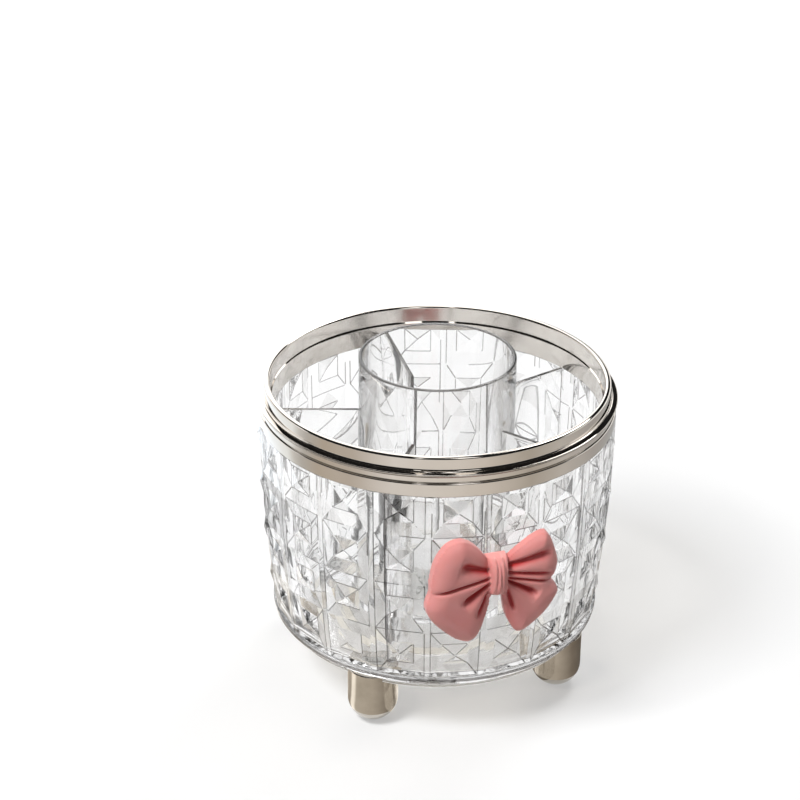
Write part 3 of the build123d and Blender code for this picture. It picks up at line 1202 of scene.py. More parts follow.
@dataclass
class Base(Subassembly):
    """Clear base plate with its bearing ring and pivot.

    Args:
        plate_bottom: Height of the plate's underside.
        plate_top: Height of the plate's top.
        plate_radius: Radius of the plate.
        boss_radius: Radius of the boss that the drum turns on.
        boss_top: Height of the boss's top.
        hole_radius: Radius of the screw hole in the boss.
        hole_bottom: Height of the hole's bottom.
        groove: Inner and outer radius of the groove for the bearing ring.
        groove_bottom: Height of the groove's bottom.
        glide_top: Height of the bearing ring's top.
        glide_gap: Room beside the bearing ring.
        washer_radius: Radius of the washer.
        washer_top: Height of the washer's top.
        head_radius: Radius of the pivot screw's head.
        head_top: Height of the head's top.
        shank_radius: Radius of the screw's shank.
        shank_bottom: Height of the shank's tip.
        drive_width: Width of an arm of the cross drive.
        drive_length: Length of an arm.
        foot_hole_radius: Radius of a screw hole over a foot.
        foot_head_radius: Radius of its countersink at the plate's top.
        foot_head_depth: Depth of the countersink.
    """

    plate_bottom: float = 18.3 * MM
    plate_top: float = 20.5 * MM
    plate_radius: float = 52.6 * MM
    boss_radius: float = 5.0 * MM
    boss_top: float = 24.1 * MM
    hole_radius: float = 1.6 * MM
    hole_bottom: float = 19.7 * MM
    groove: Point = (33.1 * MM, 36.9 * MM)
    groove_bottom: float = 19.4 * MM
    glide_top: float = 20.7 * MM
    glide_gap: float = 0.1 * MM
    washer_radius: float = 9.0 * MM
    washer_top: float = 25.1 * MM
    head_radius: float = 3.6 * MM
    head_top: float = 26.7 * MM
    shank_radius: float = 1.5 * MM
    shank_bottom: float = 19.8 * MM
    drive_width: float = 1.0 * MM
    drive_length: float = 4.32 * MM
    foot_hole_radius: float = 1.5 * MM
    foot_head_radius: float = 3.1 * MM
    foot_head_depth: float = 1.4 * MM

    def build(self, foot_centres: Sequence[Point]) -> None:
        """Builds plate, bearing ring, washer and pivot screw.

        Args:
            foot_centres: Plan positions of the countersunk holes.
        """
        lathe = Lathe()
        plate = lathe.turn("base_plate_clear", [
            (0.0, self.plate_bottom, SHARP),
            (self.plate_radius, self.plate_bottom, SOFT),
            (self.plate_radius, self.plate_top, SOFT),
            (self.groove[1], self.plate_top, BROKEN),
            (self.groove[1], self.groove_bottom, SHARP),
            (self.groove[0], self.groove_bottom, SHARP),
            (self.groove[0], self.plate_top, BROKEN),
            (self.boss_radius, self.plate_top, SHARP),
            (self.boss_radius, self.boss_top, EASED),
            (self.hole_radius, self.boss_top, SHARP),
            (self.hole_radius, self.hole_bottom, SHARP),
            (0.0, self.hole_bottom, SHARP),
        ])
        for centre in foot_centres:
            apply_boolean(plate, self.countersink(centre), "DIFFERENCE")
        smooth(plate)
        self.mount(plate, INSERT_PLASTIC, "clear_plastic", "base_plate")
        glide = lathe.turn("glide_ring_white", section(
            (self.groove[0] + self.glide_gap, self.groove[1] - self.glide_gap),
            (self.groove_bottom + CONTACT_GAP, self.glide_top),
            (BROKEN, BROKEN, EASED, EASED),
        ))
        self.mount(glide, SLIP_PLASTIC, "white_plastic", "glide_ring")
        small = Lathe(steps=64)
        washer = small.turn("pivot_washer_zinc", section(
            (self.hole_radius, self.washer_radius),
            (self.boss_top + CONTACT_GAP, self.washer_top),
            (BROKEN, BROKEN, EASED, BROKEN),
        ))
        self.mount(washer, ZINC, "steel", "pivot_washer")
        screw = small.turn("pivot_screw_zinc", [
            (0.0, self.shank_bottom, SHARP),
            (self.shank_radius, self.shank_bottom, EASED),
            (self.shank_radius, self.washer_top, SHARP),
            (self.head_radius, self.washer_top, BROKEN),
            (self.head_radius, self.head_top, FULL),
            (0.0, self.head_top, SHARP),
        ])
        arm = (self.drive_length, self.drive_width, self.head_top - self.washer_top)
        cut_cross(screw, (0.0, 0.0, self.head_top), arm)
        self.mount(screw, ZINC, "steel", "pivot_screw")

    def countersink(self, centre: Point) -> Piece:
        """Body of a screw hole with its countersink.

        Args:
            centre: Plan position of the hole.

        Returns:
            The body.
        """
        below = self.plate_bottom - self.foot_head_depth
        above = self.plate_top + self.foot_head_depth
        reach = self.foot_head_radius - self.foot_hole_radius
        return Lathe(steps=48).turn("countersink", [
            (0.0, below, SHARP),
            (self.foot_hole_radius, below, SHARP),
            (self.foot_hole_radius, self.plate_top - self.foot_head_depth, SHARP),
            (self.foot_head_radius + reach, above, SHARP),
            (0.0, above, SHARP),
        ], centre)


@dataclass
class Feet(Subassembly):
    """Four plated domed feet with their countersunk screws.

    Args:
        count: How many feet.
        radius: Radius of a foot and of its dome.
        axis_radius: Distance of a foot's axis from the turning axis.
        first_angle: Angle of the first foot.
        flat: How much of the dome is flattened where it stands.
        top: Height of the foot's top beside the plate.
        plate_radius: Radius of the plate that the foot holds.
        plate_bottom: Height of the plate's underside.
        screw_head_radius: Radius of the screw's head.
        screw_head_depth: Depth of the head.
        screw_radius: Radius of the screw's shank.
        screw_length: Length of the screw.
        drive_length: Length of an arm of the cross drive.
        drive_width: Width of an arm.
        hole_clearance: Room round the screw in the foot.
        tip_room: Room under the screw's tip.
    """

    count: int = 4
    radius: float = 8.5 * MM
    axis_radius: float = 46.7 * MM
    first_angle: float = -115.5
    flat: float = 0.3 * MM
    top: float = 20.5 * MM
    plate_radius: float = 52.6 * MM
    plate_bottom: float = 18.3 * MM
    screw_head_radius: float = 3.0 * MM
    screw_head_depth: float = 1.4 * MM
    screw_radius: float = 1.4 * MM
    screw_length: float = 9.0 * MM
    drive_length: float = 3.6 * MM
    drive_width: float = 0.8 * MM
    hole_clearance: float = 0.1 * MM
    tip_room: float = 0.6 * MM

    def centres(self) -> list[Point]:
        """Plan positions of the feet."""
        turns = [index * 360.0 / self.count for index in range(self.count)]
        return [tuple(polar(self.axis_radius, self.first_angle + turn).xy) for turn in turns]

    def build(self) -> None:
        """Builds one foot and one screw at the first place, and copies them round."""
        foot = self.foot("foot_plated_1")
        screw = self.screw("foot_screw_zinc_1")
        turn = 360.0 / self.count
        feet = repeated(foot, "foot_plated", self.count, turn)
        screws = repeated(screw, "foot_screw_zinc", self.count, turn)
        for index, piece in enumerate(feet):
            self.mount(piece, FOOT_PLATING, "plated", f"foot_{index + 1}")
        for piece in screws:
            self.mount(piece, ZINC, "steel", "foot_screws")

    def foot(self, name: str) -> Piece:
        """Foot with a turned dome, a notch for the plate and a screw hole.

        Args:
            name: Name of the piece.

        Returns:
            The foot in its place.
        """
        steps = 14
        middle = self.radius - self.flat
        hole = self.screw_radius + self.hole_clearance
        hole_bottom = self.top - self.screw_length - self.tip_room
        start = math.asin(-middle / self.radius)
        outline = [(0.0, 0.0, SHARP)]
        for step in range(steps + 1):
            angle = start * (1 - step / steps)
            outline.append((self.radius * math.cos(angle), middle + self.radius * math.sin(angle), SHARP))
        outline += [
            (self.radius, self.top, EASED),
            (hole, self.top, SHARP),
            (hole, hole_bottom, SHARP),
            (0.0, hole_bottom, SHARP),
        ]
        centre = self.centres()[0]
        foot = Lathe(steps=72).turn(name, outline, centre)
        above = self.top + self.tip_room
        seat = self.plate_bottom - CONTACT_GAP
        edge = self.plate_radius + CONTACT_GAP
        plate = Lathe(steps=360).turn("plate_room", section((0.0, edge), (seat, above)))
        apply_boolean(foot, plate, "DIFFERENCE")
        smooth(foot)
        return foot

    def screw(self, name: str) -> Piece:
        """Countersunk screw with a cross drive, its head flush with the plate.

        Args:
            name: Name of the piece.

        Returns:
            The screw in its place.
        """
        tip = self.top - self.screw_length
        centre = self.centres()[0]
        screw = Lathe(steps=48).turn(name, [
            (0.0, tip, SHARP),
            (self.screw_radius, tip, EASED),
            (self.screw_radius, self.top - self.screw_head_depth, SHARP),
            (self.screw_head_radius, self.top, BROKEN),
            (0.0, self.top, SHARP),
        ], centre)
        cut_cross(screw, (*centre, self.top), (self.drive_length, self.drive_width, self.screw_head_depth))
        return screw


@dataclass(frozen=True)
class Fold:
    """Crease pressed into a wing, as a line from the knot outwards, in mm.

    Args:
        start: Start of the crease, across and up from the knot's middle.
        end: End of the crease.
        depth: Depth at its deepest.
        width: Half width of the groove at its start.
        flare: Half width of the groove at its end.
    """

    start: Point
    end: Point
    depth: float
    width: float
    flare: float

    def depth_at(self, across: np.ndarray, up: np.ndarray) -> np.ndarray:
        """Depth of the crease at points of the wing, all in mm.

        Args:
            across: Distances across the bow.
            up: Distances up the bow.

        Returns:
            Depth at each point.
        """
        fade_rate, fade_power, fall_off = 4.0, 0.7, 1.5
        start, end = np.array(self.start), np.array(self.end)
        line = end - start
        length = float(np.hypot(*line))
        along = ((across - start[0]) * line[0] + (up - start[1]) * line[1]) / length**2
        clipped = np.clip(along, 0.0, 1.0)
        gap = np.hypot(across - (start[0] + clipped * line[0]), up - (start[1] + clipped * line[1]))
        half = self.width + (self.flare - self.width) * clipped
        fade = np.clip((1.0 - clipped) * fade_rate, 0.0, 1.0) ** fade_power
        return self.depth * fade / (1.0 + (gap / half) ** 2) ** fall_off


@dataclass(frozen=True)
class Wing:
    """One wing of the bow.

    Args:
        name: Name of the piece.
        outline: Edge points from the top of the knot round to its bottom, in mm.
        folds: Creases pressed into the wing.
    """

    name: str
    outline: Sequence[Point]
    folds: Sequence[Fold]


RIGHT_WING = Wing(
    name="bow_right",
    outline=(
        (2.4, 4.4), (5.5, 6.9), (8.6, 9.3), (12.4, 11.8), (15.6, 12.8), (17.2, 11.6), (18.7, 8.2),
        (20.2, 2.6), (19.8, -2.0), (18.4, -4.6), (19.9, -6.6), (20.8, -9.0), (20.2, -11.2), (16.9, -16.3),
        (11.9, -20.8), (8.9, -22.5), (7.0, -22.3), (5.3, -20.0), (3.2, -14.9), (2.0, -7.5),
    ),
    folds=(
        Fold((3.0, 3.0), (18.0, 6.6), 2.4, 0.8, 2.2),
        Fold((3.2, 1.2), (18.6, -1.6), 1.6, 0.5, 1.0),
        Fold((3.2, -0.6), (18.6, -4.8), 2.0, 0.45, 0.4),
        Fold((3.0, -1.8), (13.4, -8.4), 3.0, 0.5, 1.5),
        Fold((2.6, -3.2), (5.6, -13.5), 1.8, 0.5, 0.7),
    ),
)
LEFT_WING = Wing(
    name="bow_left",
    outline=(
        (-2.4, 4.9), (-5.2, 8.9), (-7.9, 11.8), (-10.6, 13.5), (-12.9, 13.9), (-15.6, 13.2), (-17.9, 11.3),
        (-20.5, 7.0), (-21.9, 0.2), (-22.0, -3.5), (-23.2, -7.2), (-23.0, -10.2), (-20.5, -14.8),
        (-14.6, -20.7), (-10.6, -23.0), (-8.3, -23.2), (-6.3, -21.8), (-4.3, -17.3), (-3.0, -11.2),
        (-2.2, -6.8),
    ),
    folds=(
        Fold((-3.0, 2.4), (-13.0, 6.2), 2.2, 0.8, 2.4),
        Fold((-3.0, 0.2), (-21.5, -3.4), 2.0, 0.5, 0.6),
        Fold((-3.2, -1.8), (-12.0, -8.6), 2.8, 0.5, 1.7),
        Fold((-2.6, -3.8), (-7.0, -14.2), 1.9, 0.5, 0.9),
    ),
)


def rounded_level(share: float, power: float, rim: float) -> float:
    """Height of a rounded form, 1 in its middle and less at its rim.

    Args:
        share: Distance from the middle as a share of the half width.
        power: How squarely the form turns over.
        rim: Height that is left at the rim.

    Returns:
        The height at that distance.
    """
    return rim + (1.0 - rim) * max(1.0 - abs(share) ** power, 0.0) ** 0.5


def close_back(piece: Piece) -> None:
    """Draws the rim of an open sheet back to the flat plane and closes it."""
    with editing(piece, Element.EDGE):
        pick(piece, Element.EDGE, lambda edge: edge.is_boundary)
        extrude((0.0, 0.0, -START_SIZE))
        bpy.ops.transform.resize(value=(1.0, 1.0, 0.0), center_override=CENTRE)
        bpy.ops.mesh.fill_holes(sides=0)
        face_out()


@dataclass(frozen=True)
class Knot:
    """Pleated knot that wraps round to the bow's back.

    Args:
        half_width: Half of its width.
        half_height: Half of its height.
        depth: How far it stands out from the bow's back.
        waist: Share by which its sides draw in at the middle.
        end_power: How squarely it turns over at its top and bottom.
        end_level: Share of the depth that is left there.
        side_power: How squarely it turns over at its sides.
        side_level: Share of the depth that is left there.
        pleats: Place, lean and half width of each pleat, as shares of the half width.
        pleat_depth: Depth of a pleat.
        columns: Grid steps across.
        rows: Grid steps up.
    """

    half_width: float = 3.35 * MM
    half_height: float = 6.9 * MM
    depth: float = 7.85 * MM
    waist: float = 0.13
    end_power: float = 3.2
    end_level: float = 0.22
    side_power: float = 3.0
    side_level: float = 0.45
    pleats: Sequence[Place] = ((-0.36, 0.15, 0.1), (0.1, -0.066, 0.08), (0.55, -0.03, 0.12))
    pleat_depth: float = 0.9 * MM
    columns: int = 48
    rows: int = 40

    def build(self, least: float) -> Piece:
        """Builds the knot as a closed sheet.

        Args:
            least: Least height over the bow's back.

        Returns:
            The knot, upright in its own plane.
        """
        deselect()
        bpy.ops.mesh.primitive_grid_add(x_subdivisions=self.columns, y_subdivisions=self.rows, size=2.0)
        piece = named("bow_knot")
        for vert in piece.data.vertices:
            across, up = vert.co.x, vert.co.y
            narrow = 1.0 - self.waist * (1.0 - up * up)
            height = self.depth * rounded_level(up, self.end_power, self.end_level)
            height *= rounded_level(across, self.side_power, self.side_level)
            for place, lean, width in self.pleats:
                gap = (across - place - lean * up) / width
                height -= self.pleat_depth / (1.0 + gap * gap)
            vert.co = (across * self.half_width * narrow, up * self.half_height, max(height, least))
        close_back(piece)
        return piece


@dataclass
class Bow(Subassembly):
    """Cast resin bow, flat at its back, on the front of the drum.

    Args:
        wall: Barrel curve of the drum's wall.
        angle: Angle of the knot round the drum.
        knot_height: Height of the knot's middle.
        seat_gap: Gap between the bow's back and the wall's crests.
        side_height: Height of a wing's rim over the back.
        crown: How far a wing puffs out above its rim.
        edge_reach: Distance from the rim over which it puffs out.
        least: Least height over the back, at the bottom of a crease.
        hub_aside: Distance from the middle of the line that a wing fans out from, in mm.
        hub_top: Upper end of that line above the knot's middle, in mm.
        hub_length: Length of that line, in mm.
        fan_power: How evenly a wing's rows are spread from the line to the rim.
        around: Points along a wing's outline.
        outward: Rows from the line to the rim.
        grain: Size of the voxels that join the parts to one casting.
    """

    wall: WallCurve = field(default_factory=WallCurve)
    angle: float = -71.7
    knot_height: float = 66.6 * MM
    seat_gap: float = 0.1 * MM
    side_height: float = 1.6 * MM
    crown: float = 4.12 * MM
    edge_reach: float = 6.0 * MM
    least: float = 0.5 * MM
    hub_aside: float = 0.4
    hub_top: float = 3.6
    hub_length: float = 8.4
    fan_power: float = 0.75
    around: int = 180
    outward: int = 44
    grain: float = 0.28 * MM

    def build(self) -> None:
        """Builds both wings and the knot and joins them as one casting."""
        bow = self.wing(LEFT_WING)
        others = [self.wing(RIGHT_WING), Knot().build(self.least)]
        activate(bow)
        for part in others:
            part.select_set(True)
        bpy.ops.object.join()
        bow.name = bow.data.name = "bow_cast"
        cast = bow.modifiers.new("One casting", "REMESH")
        cast.mode = "VOXEL"
        cast.voxel_size = self.grain
        cast.use_smooth_shade = True
        bpy.ops.object.modifier_apply(modifier=cast.name)
        self.paint_crease_shade(bow, [*LEFT_WING.folds, *RIGHT_WING.folds])
        self.seat(bow)
        self.mount(bow, PINK_RESIN, "pink_resin", "bow")

    def rounded_outline(self, points: Sequence[Point]) -> np.ndarray:
        """Smooth curve through the edge points of a wing, in metres.

        Args:
            points: Edge points in millimetres.

        Returns:
            Evenly parted points of the edge.
        """
        curve_steps = 24
        spots = np.array(points) * MM
        padded = np.vstack([2 * spots[0] - spots[1], spots, 2 * spots[-1] - spots[-2]])
        fine = []
        for index in range(1, len(padded) - 2):
            before, start, end, after = padded[index - 1:index + 3]
            for share in np.linspace(0.0, 1.0, curve_steps, endpoint=False):
                fine.append(0.5 * (
                    2 * start + (end - before) * share
                    + (2 * before - 5 * start + 4 * end - after) * share**2
                    + (3 * start - before - 3 * end + after) * share**3
                ))
        fine = np.array(fine + [spots[-1]])
        travelled = np.concatenate([[0.0], np.cumsum(np.hypot(*np.diff(fine, axis=0).T))])
        even = np.linspace(0.0, travelled[-1], self.around)
        return np.column_stack([np.interp(even, travelled, fine[:, axis]) for axis in (0, 1)])

    def wing(self, wing: Wing) -> Piece:
        """Wing as a puffed sheet that fans out from the knot, on a flat back.

        Args:
            wing: Its outline and folds.

        Returns:
            The closed wing, upright in its own plane.
        """
        edge = self.rounded_outline(wing.outline)
        side = math.copysign(1.0, wing.outline[0][0])
        shares = np.linspace(0.0, 1.0, self.around)
        hub_across = np.full(self.around, side * self.hub_aside * MM)
        hub = np.column_stack([hub_across, (self.hub_top - self.hub_length * shares) * MM])
        reach = np.linspace(0.0, 1.0, self.outward) ** self.fan_power
        flat = hub[:, None, :] + (edge - hub)[:, None, :] * reach[None, :, None]
        across, up = flat[..., 0], flat[..., 1]
        near_edge = np.full(across.shape, math.inf)
        for edge_across, edge_up in edge[::2]:
            near_edge = np.minimum(near_edge, np.hypot(across - edge_across, up - edge_up))
        inward = np.clip(near_edge / self.edge_reach, 0.0, 1.0)
        height = self.side_height + self.crown * np.sqrt(1.0 - (1.0 - inward) ** 2)
        for fold in wing.folds:
            height = height - fold.depth_at(across / MM, up / MM) * MM
        height = np.maximum(height, self.least)
        columns, rows = self.outward - 1, self.around - 1
        deselect()
        bpy.ops.mesh.primitive_grid_add(x_subdivisions=columns, y_subdivisions=rows, size=1.0)
        piece = named(wing.name)
        places = np.stack([across, up, height], axis=-1).reshape(-1, 3)
        piece.data.vertices.foreach_set("co", places.astype(np.float32).ravel())
        piece.data.update()
        close_back(piece)
        return piece

    def paint_crease_shade(self, bow: Piece, folds: Sequence[Fold]) -> None:
        """Keeps painted shade for each point as an attribute: strong deep in a crease, some on the wing
        roots beside the knot, none on the knot.

        Args:
            bow: The casting, still flat in its own plane.
            folds: The creases of both wings.
        """
        knot_side, knot_blend = 3.0, 0.8
        crease_start, crease_span = 0.2, 0.6
        knot_shade_strength, knot_shade_place, knot_shade_spread = 0.55, 3.2, 2.4
        places = np.empty(len(bow.data.vertices) * 3, dtype=np.float32)
        bow.data.vertices.foreach_get("co", places)
        across, up, _ = places.reshape(-1, 3).T / MM
        beside_knot = np.clip((np.abs(across) - knot_side) / knot_blend, 0.0, 1.0)
        crease = np.zeros(len(across))
        for fold in folds:
            own_side = np.sign(across) == np.sign(fold.start[0])
            share = fold.depth_at(across, up) / fold.depth
            share = np.clip((share - crease_start) / crease_span, 0.0, 1.0)
            crease = np.maximum(crease, np.where(own_side, share, 0.0))
        # Painted shade on the wing roots beside the knot.
        knot_shade = knot_shade_strength * np.exp(-np.abs(np.abs(across) - knot_shade_place) / knot_shade_spread)
        shade = np.clip(crease + knot_shade, 0.0, 1.0) * beside_knot
        attribute = bow.data.attributes.new(PAINTED_SHADE_ATTRIBUTE, "FLOAT", "POINT")
        attribute.data.foreach_set("value", shade.astype(np.float32))

    def seat(self, bow: Piece) -> None:
        """Stands the bow upright on the foremost crests of the wall."""
        out = polar(1.0, self.angle)
        along = polar(1.0, self.angle + 90.0)
        place = out * (self.wall.crest(self.knot_height) + self.seat_gap)
        place += Vector((0.0, 0.0, self.knot_height))
        for vert in bow.data.vertices:
            across, up, height = vert.co
            vert.co = place + along * across + Vector((0.0, 0.0, up)) + out * height


@dataclass(frozen=True)
class SkyPatch:
    """Part of a dome of cards.

    Args:
        low: Lowest elevation in degrees.
        high: Highest elevation.
        azimuth: Middle azimuth.
        half_width: Reach to either side in azimuth.
    """

    low: float
    high: float
    azimuth: float
    half_width: float

    def holds(self, place: Vector) -> bool:
        """Whether a point of the dome lies in the patch."""
        elevation = math.degrees(math.asin(place.z / place.length))
        azimuth = math.degrees(math.atan2(place.y, place.x))
        aside = abs((azimuth - self.azimuth + 180.0) % 360.0 - 180.0)
        return self.low < elevation < self.high and aside < self.half_width


@dataclass(frozen=True)
class Sky:
    """Cards high round the object, cut from a dome.

    Args:
        name: Name of the cards.
        radius: Radius of the dome.
        strength: How bright the cards shine.
        patches: Parts of the dome that are kept.
        through: Whether clear plastic shows the cards, instead of metal and gloss.
    """

    name: str
    radius: float
    strength: float
    patches: Sequence[SkyPatch]
    through: bool = False


SKIES = (
    Sky("sky_dark", 1.7, 0.02, (
        SkyPatch(1.0, 34.0, -90.0, 85.0),
        SkyPatch(30.0, 84.0, -87.0, 13.0),
        SkyPatch(30.0, 84.0, -137.0, 33.0),
        SkyPatch(30.0, 84.0, -22.0, 40.0),
        SkyPatch(20.0, 84.0, 165.0, 35.0),
        SkyPatch(20.0, 84.0, 42.0, 42.0),
    )),
    Sky("sky_bright", 1.734, 2.6, (
        SkyPatch(30.0, 90.0, -90.0, 90.0),
        SkyPatch(12.0, 90.0, 90.0, 90.0),
    )),
    Sky("sky_grey", 1.768, 0.3, (
        SkyPatch(8.0, 50.0, -90.0, 35.0),
        SkyPatch(8.0, 50.0, 28.0, 20.0),
        SkyPatch(8.0, 50.0, -175.0, 20.0),
    ), through=True),
)


@dataclass(frozen=True)
class FloorCard:
    """Flat ring on the floor whose light changes with the direction.

    Args:
        name: Name of the card.
        inner: Inner radius.
        outer: Outer radius.
        stops: Azimuths from -180 to 180 and the light that the card sends there.
    """

    name: str
    inner: float
    outer: float
    stops: Sequence[tuple[float, Colour]]


FOOT_CARD = FloorCard("foot_card", 9.0 * MM, 60.0 * MM, (
    (-180, (1.5, 1.42, 1.3)),
    (-166, (1.5, 1.42, 1.3)),
    (-156, (0.72, 0.66, 0.57)),
    (-90, (0.62, 0.56, 0.48)),
    (-60, (0.45, 0.4, 0.34)),
    (-24, (0.28, 0.24, 0.2)),
    (35, (0.15, 0.13, 0.11)),
    (70, (0.2, 0.18, 0.16)),
    (110, (0.9, 0.87, 0.82)),
    (140, (1.05, 1.0, 0.93)),
    (149, (0.42, 0.37, 0.31)),
    (170, (0.4, 0.36, 0.3)),
    (180, (1.5, 1.42, 1.3)),
))
WALL_CARD = FloorCard("wall_card", 115.0 * MM, 165.0 * MM, (
    (-180, (0.02, 0.02, 0.02)),
    (180, (0.02, 0.02, 0.02)),
))
FAR_CARD = FloorCard("far_card", 170.0 * MM, 900.0 * MM, (
    (-180, (0.98, 0.98, 0.96)),
    (-174, (0.8, 0.79, 0.76)),
    (-160, (0.77, 0.69, 0.59)),
    (-139, (0.82, 0.75, 0.67)),
    (-114, (1.16, 1.13, 1.1)),
    (-90, (1.12, 1.08, 1.03)),
    (-62, (1.02, 0.96, 0.89)),
    (-35, (0.69, 0.64, 0.57)),
    (-12, (0.82, 0.79, 0.75)),
    (15, (0.62, 0.6, 0.58)),
    (40, (0.53, 0.53, 0.52)),
    (63, (0.47, 0.47, 0.47)),
    (90, (0.7, 0.75, 0.8)),
    (115, (1.5, 1.65, 1.8)),
    (152, (1.6, 1.72, 1.85)),
    (173, (1.4, 1.47, 1.5)),
    (180, (0.98, 0.98, 0.96)),
))


@dataclass(frozen=True)
class Lamp:
    """Square area lamp that faces the object.

    Args:
        name: Name of the lamp.
        place: Where it hangs.
        size: Side of the square.
        power: Power in watts.
        mirrored: Whether metal and gloss show the lamp.
    """

    name: str
    place: Place
    size: float
    power: float
    mirrored: bool = True


LAMPS = (
    Lamp("key", (0.5, 0.75, 1.1), 0.5, 9.0),
    Lamp("side", (-0.58, -0.48, 1.12), 0.4, 19.5, mirrored=False),
)


@dataclass
class Studio:
    """Floor, lamps, world, cards and camera round the object.

    Args:
        level: Strength of the even world light.
        floor_size: Side of the square floor.
        floor_shade: How light the floor is.
        floor_roughness: Roughness of the floor.
        glow: What the middle of the floor adds where the camera, metal or glass sees it.
        far_glow: What the floor adds far out.
        glow_start: Distance from the middle where the glow starts to grow.
        glow_end: Distance where it is full.
        aim_height: Height that the lamps face.
        dome_steps: Steps of a dome of cards round and up.
        card_steps: Steps of a floor card round.
        card_height: How high the floor cards lie.
        card_strength: Strength that the light of a floor card is scaled by.
        camera_place: Where the camera stands.
        camera_turn: How it is turned, in degrees.
        lens: Its focal length in mm.
        sensor: Width of its sensor in mm.
        clip_start: Nearest distance that it sees.
    """

    level: float = 0.25
    floor_size: float = 3.0
    floor_shade: float = 0.45
    floor_roughness: float = 0.7
    glow: float = 0.37
    far_glow: float = 1.0
    glow_start: float = 0.14
    glow_end: float = 1.2
    aim_height: float = 0.06
    dome_steps: tuple[int, int] = (72, 36)
    card_steps: int = 90
    card_height: float = 0.4 * MM
    card_strength: float = 2.0
    camera_place: Place = (0.0, -0.59662, 0.39967)
    camera_turn: Place = (63.1485, -0.2621, 1.3207)
    lens: float = 90.0
    sensor: float = 36.0
    clip_start: float = 0.01

    def build(self, foot_centres: Sequence[Point]) -> None:
        """Builds the studio.

        Args:
            foot_centres: Plan positions of the feet, which get cards round them.
        """
        bpy.context.scene.view_settings.view_transform = "Standard"
        self.world()
        self.floor()
        self.camera()
        for lamp in LAMPS:
            self.lamp(lamp)
        for sky in SKIES:
            self.sky(sky)
        for card in (WALL_CARD, FAR_CARD):
            self.floor_card(card, (0.0, 0.0))
        for centre in foot_centres:
            self.floor_card(FOOT_CARD, centre)

    def seen_mask(self, tree: Tree) -> Socket:
        """Socket that is 1 for camera, glossy and transmission rays."""
        path = tree.nodes.new("ShaderNodeLightPath")
        mask = path.outputs["Is Camera Ray"]
        for label in ("Is Glossy Ray", "Is Transmission Ray"):
            either = maths_node(tree, "MAXIMUM")
            tree.links.new(mask, either.inputs[0])
            link(path, label, either, 1)
            mask = either.outputs["Value"]
        return mask

    def world(self) -> None:
        """Soft even world that looks white to camera, glossy and transmission rays."""
        world = bpy.data.worlds.new("studio")
        bpy.context.scene.world = world
        world.use_nodes = True
        tree = world.node_tree
        tree.nodes.clear()
        mix = tree.nodes.new("ShaderNodeMixShader")
        output = tree.nodes.new("ShaderNodeOutputWorld")
        tree.links.new(self.seen_mask(tree), mix.inputs[0])
        for index, strength in ((1, self.level), (2, 1.0)):
            light = tree.nodes.new("ShaderNodeBackground")
            set_inputs(light, {"Strength": strength, "Color": (1.0, 1.0, 1.0, 1.0)})
            link(light, "Background", mix, index)
        link(mix, "Shader", output, "Surface")

    def floor(self) -> None:
        """White floor that keeps the object's shadow."""
        deselect()
        bpy.ops.mesh.primitive_plane_add(size=self.floor_size)
        floor = named("floor")
        material = bpy.data.materials.new("floor_white")
        material.use_nodes = True
        tree = material.node_tree
        shader = tree.nodes["Principled BSDF"]
        set_inputs(shader, {
            "Base Color": (*(self.floor_shade,) * 3, 1.0),
            "Roughness": self.floor_roughness,
            "Specular IOR Level": 0.0,
        })
        glow = tree.nodes.new("ShaderNodeEmission")
        dim = maths_node(tree, "MULTIPLY")
        coordinates = tree.nodes.new("ShaderNodeTexCoord")
        length = tree.nodes.new("ShaderNodeVectorMath")
        length.operation = "LENGTH"
        link(coordinates, "Object", length, 0)
        spread = range_node(tree, (self.glow_start, self.glow_end), (self.glow, self.far_glow))
        link(length, "Value", spread, "Value")
        link(spread, "Result", dim, 1)
        both = tree.nodes.new("ShaderNodeAddShader")
        tree.links.new(self.seen_mask(tree), dim.inputs[0])
        link(dim, "Value", glow, "Strength")
        link(shader, "BSDF", both, 0)
        link(glow, "Emission", both, 1)
        link(both, "Shader", tree.nodes["Material Output"], "Surface")
        floor.data.materials.append(material)

    def camera(self) -> None:
        """Camera at the photograph's viewing angle."""
        deselect()
        turn = [math.radians(angle) for angle in self.camera_turn]
        bpy.ops.object.camera_add(location=self.camera_place, rotation=turn)
        camera = bpy.context.object
        camera.data.lens = self.lens
        camera.data.sensor_width = self.sensor
        camera.data.clip_start = self.clip_start
        bpy.context.scene.camera = camera

    def lamp(self, lamp: Lamp) -> None:
        """Hangs a lamp, which clear plastic doesn't show."""
        aim = Vector((0.0, 0.0, self.aim_height)) - Vector(lamp.place)
        turn = aim.to_track_quat("-Z", "Y").to_euler()
        bpy.ops.object.light_add(type="AREA", location=lamp.place, rotation=turn)
        light = named(lamp.name)
        light.data.size = lamp.size
        light.data.energy = lamp.power
        light.visible_transmission = False
        light.visible_glossy = lamp.mirrored

    def sky(self, sky: Sky) -> None:
        """Cuts cards from a dome."""
        segments, rings = self.dome_steps
        deselect()
        bpy.ops.mesh.primitive_uv_sphere_add(segments=segments, ring_count=rings, radius=sky.radius)
        dome = named(sky.name)

        def is_open(face: Face) -> bool:
            return not any(patch.holds(face.calc_center_median()) for patch in sky.patches)

        with editing(dome, Element.FACE):
            pick(dome, Element.FACE, is_open)
            bpy.ops.mesh.delete(type="FACE")
        self.hide_card(dome, (sky.strength,) * 3)
        dome.visible_transmission = sky.through
        dome.visible_glossy = not sky.through

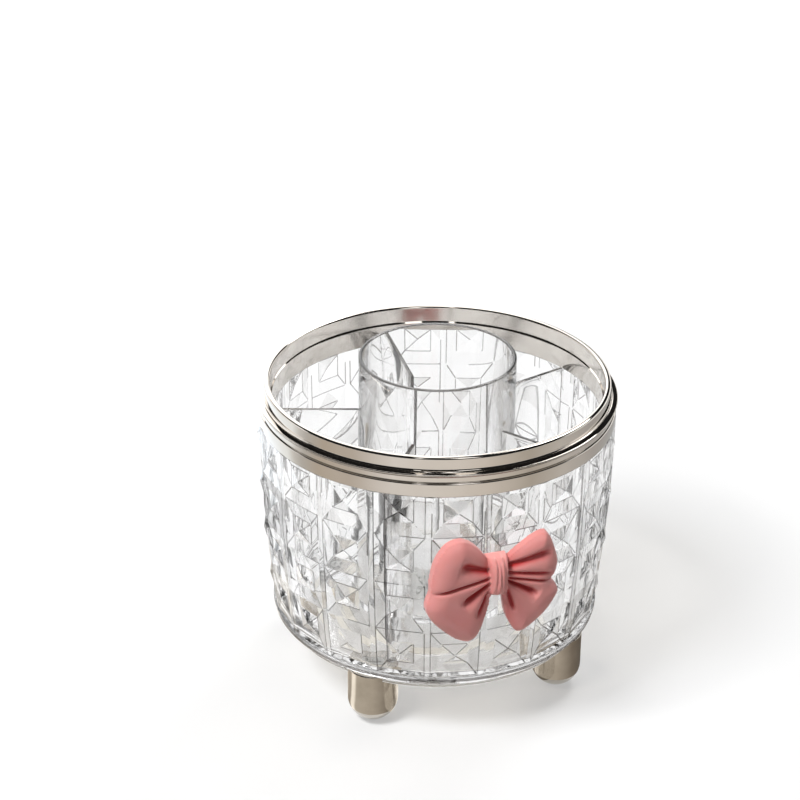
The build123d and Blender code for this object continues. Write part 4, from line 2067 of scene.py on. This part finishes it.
    def floor_card(self, card: FloorCard, centre: Point) -> None:
        """Lays a card on the floor that only metal and gloss show.

        Args:
            card: The card.
            centre: Plan position of its middle.
        """
        deselect()
        bpy.ops.mesh.primitive_circle_add(vertices=self.card_steps, radius=card.inner)
        ring = named(card.name)
        widen = card.outer / card.inner
        with editing(ring, Element.EDGE):
            select_all()
            bpy.ops.mesh.extrude_edges_move()
            bpy.ops.transform.resize(value=(widen, widen, 1.0), center_override=CENTRE)
        ring.location = (*centre, self.card_height)
        shader = self.hide_card(ring, card.stops[0][1])
        tree = ring.data.materials[0].node_tree
        coordinates = tree.nodes.new("ShaderNodeTexCoord")
        around = tree.nodes.new("ShaderNodeTexGradient")
        around.gradient_type = "RADIAL"
        ramp = tree.nodes.new("ShaderNodeValToRGB")
        link(coordinates, "Object", around, "Vector")
        link(around, "Fac", ramp, "Fac")
        stops = ramp.color_ramp.elements
        for index, (azimuth, light) in enumerate(card.stops):
            turn = (azimuth + 180.0) / 360.0
            stop = stops[index] if index < 2 else stops.new(turn)
            stop.position = turn
            stop.color = (*(value / self.card_strength for value in light), 1.0)
        link(ramp, "Color", shader, "Emission Color")
        set_inputs(shader, {"Emission Strength": self.card_strength})

    def hide_card(self, card: Piece, shade: Colour) -> Node:
        """Lets a card shine and hides it from all but glossy rays.

        Args:
            card: The card.
            shade: Light that it sends.

        Returns:
            Its shader.
        """
        card.visible_camera = card.visible_diffuse = False
        card.visible_shadow = card.visible_transmission = False
        material = bpy.data.materials.new(card.name)
        material.use_nodes = True
        shader = material.node_tree.nodes["Principled BSDF"]
        set_inputs(shader, {
            "Base Color": (0.0, 0.0, 0.0, 1.0),
            "Specular IOR Level": 0.0,
            "Emission Color": (*shade, 1.0),
            "Emission Strength": 1.0,
        })
        card.data.materials.append(material)
        return shader


def main() -> None:
    """Builds every sub-assembly in order."""
    logging.basicConfig(level=logging.INFO, format="%(name)s: %(message)s")
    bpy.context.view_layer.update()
    wall = WallCurve(top=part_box("rim_ring")[0].z)
    feet = Feet("base")
    Drum("drum", wall=wall).build()
    RimRing("drum").build()
    Bow("drum", wall=wall).build()
    Insert("insert", wall=wall).build()
    Base("base").build(feet.centres())
    feet.build()
    Studio().build(feet.centres())
    cycles = bpy.context.scene.cycles
    cycles.max_bounces = cycles.transmission_bounces = MAX_BOUNCES
    cycles.glossy_bounces = GLOSSY_BOUNCES


if __name__ == "__main__":
    main()
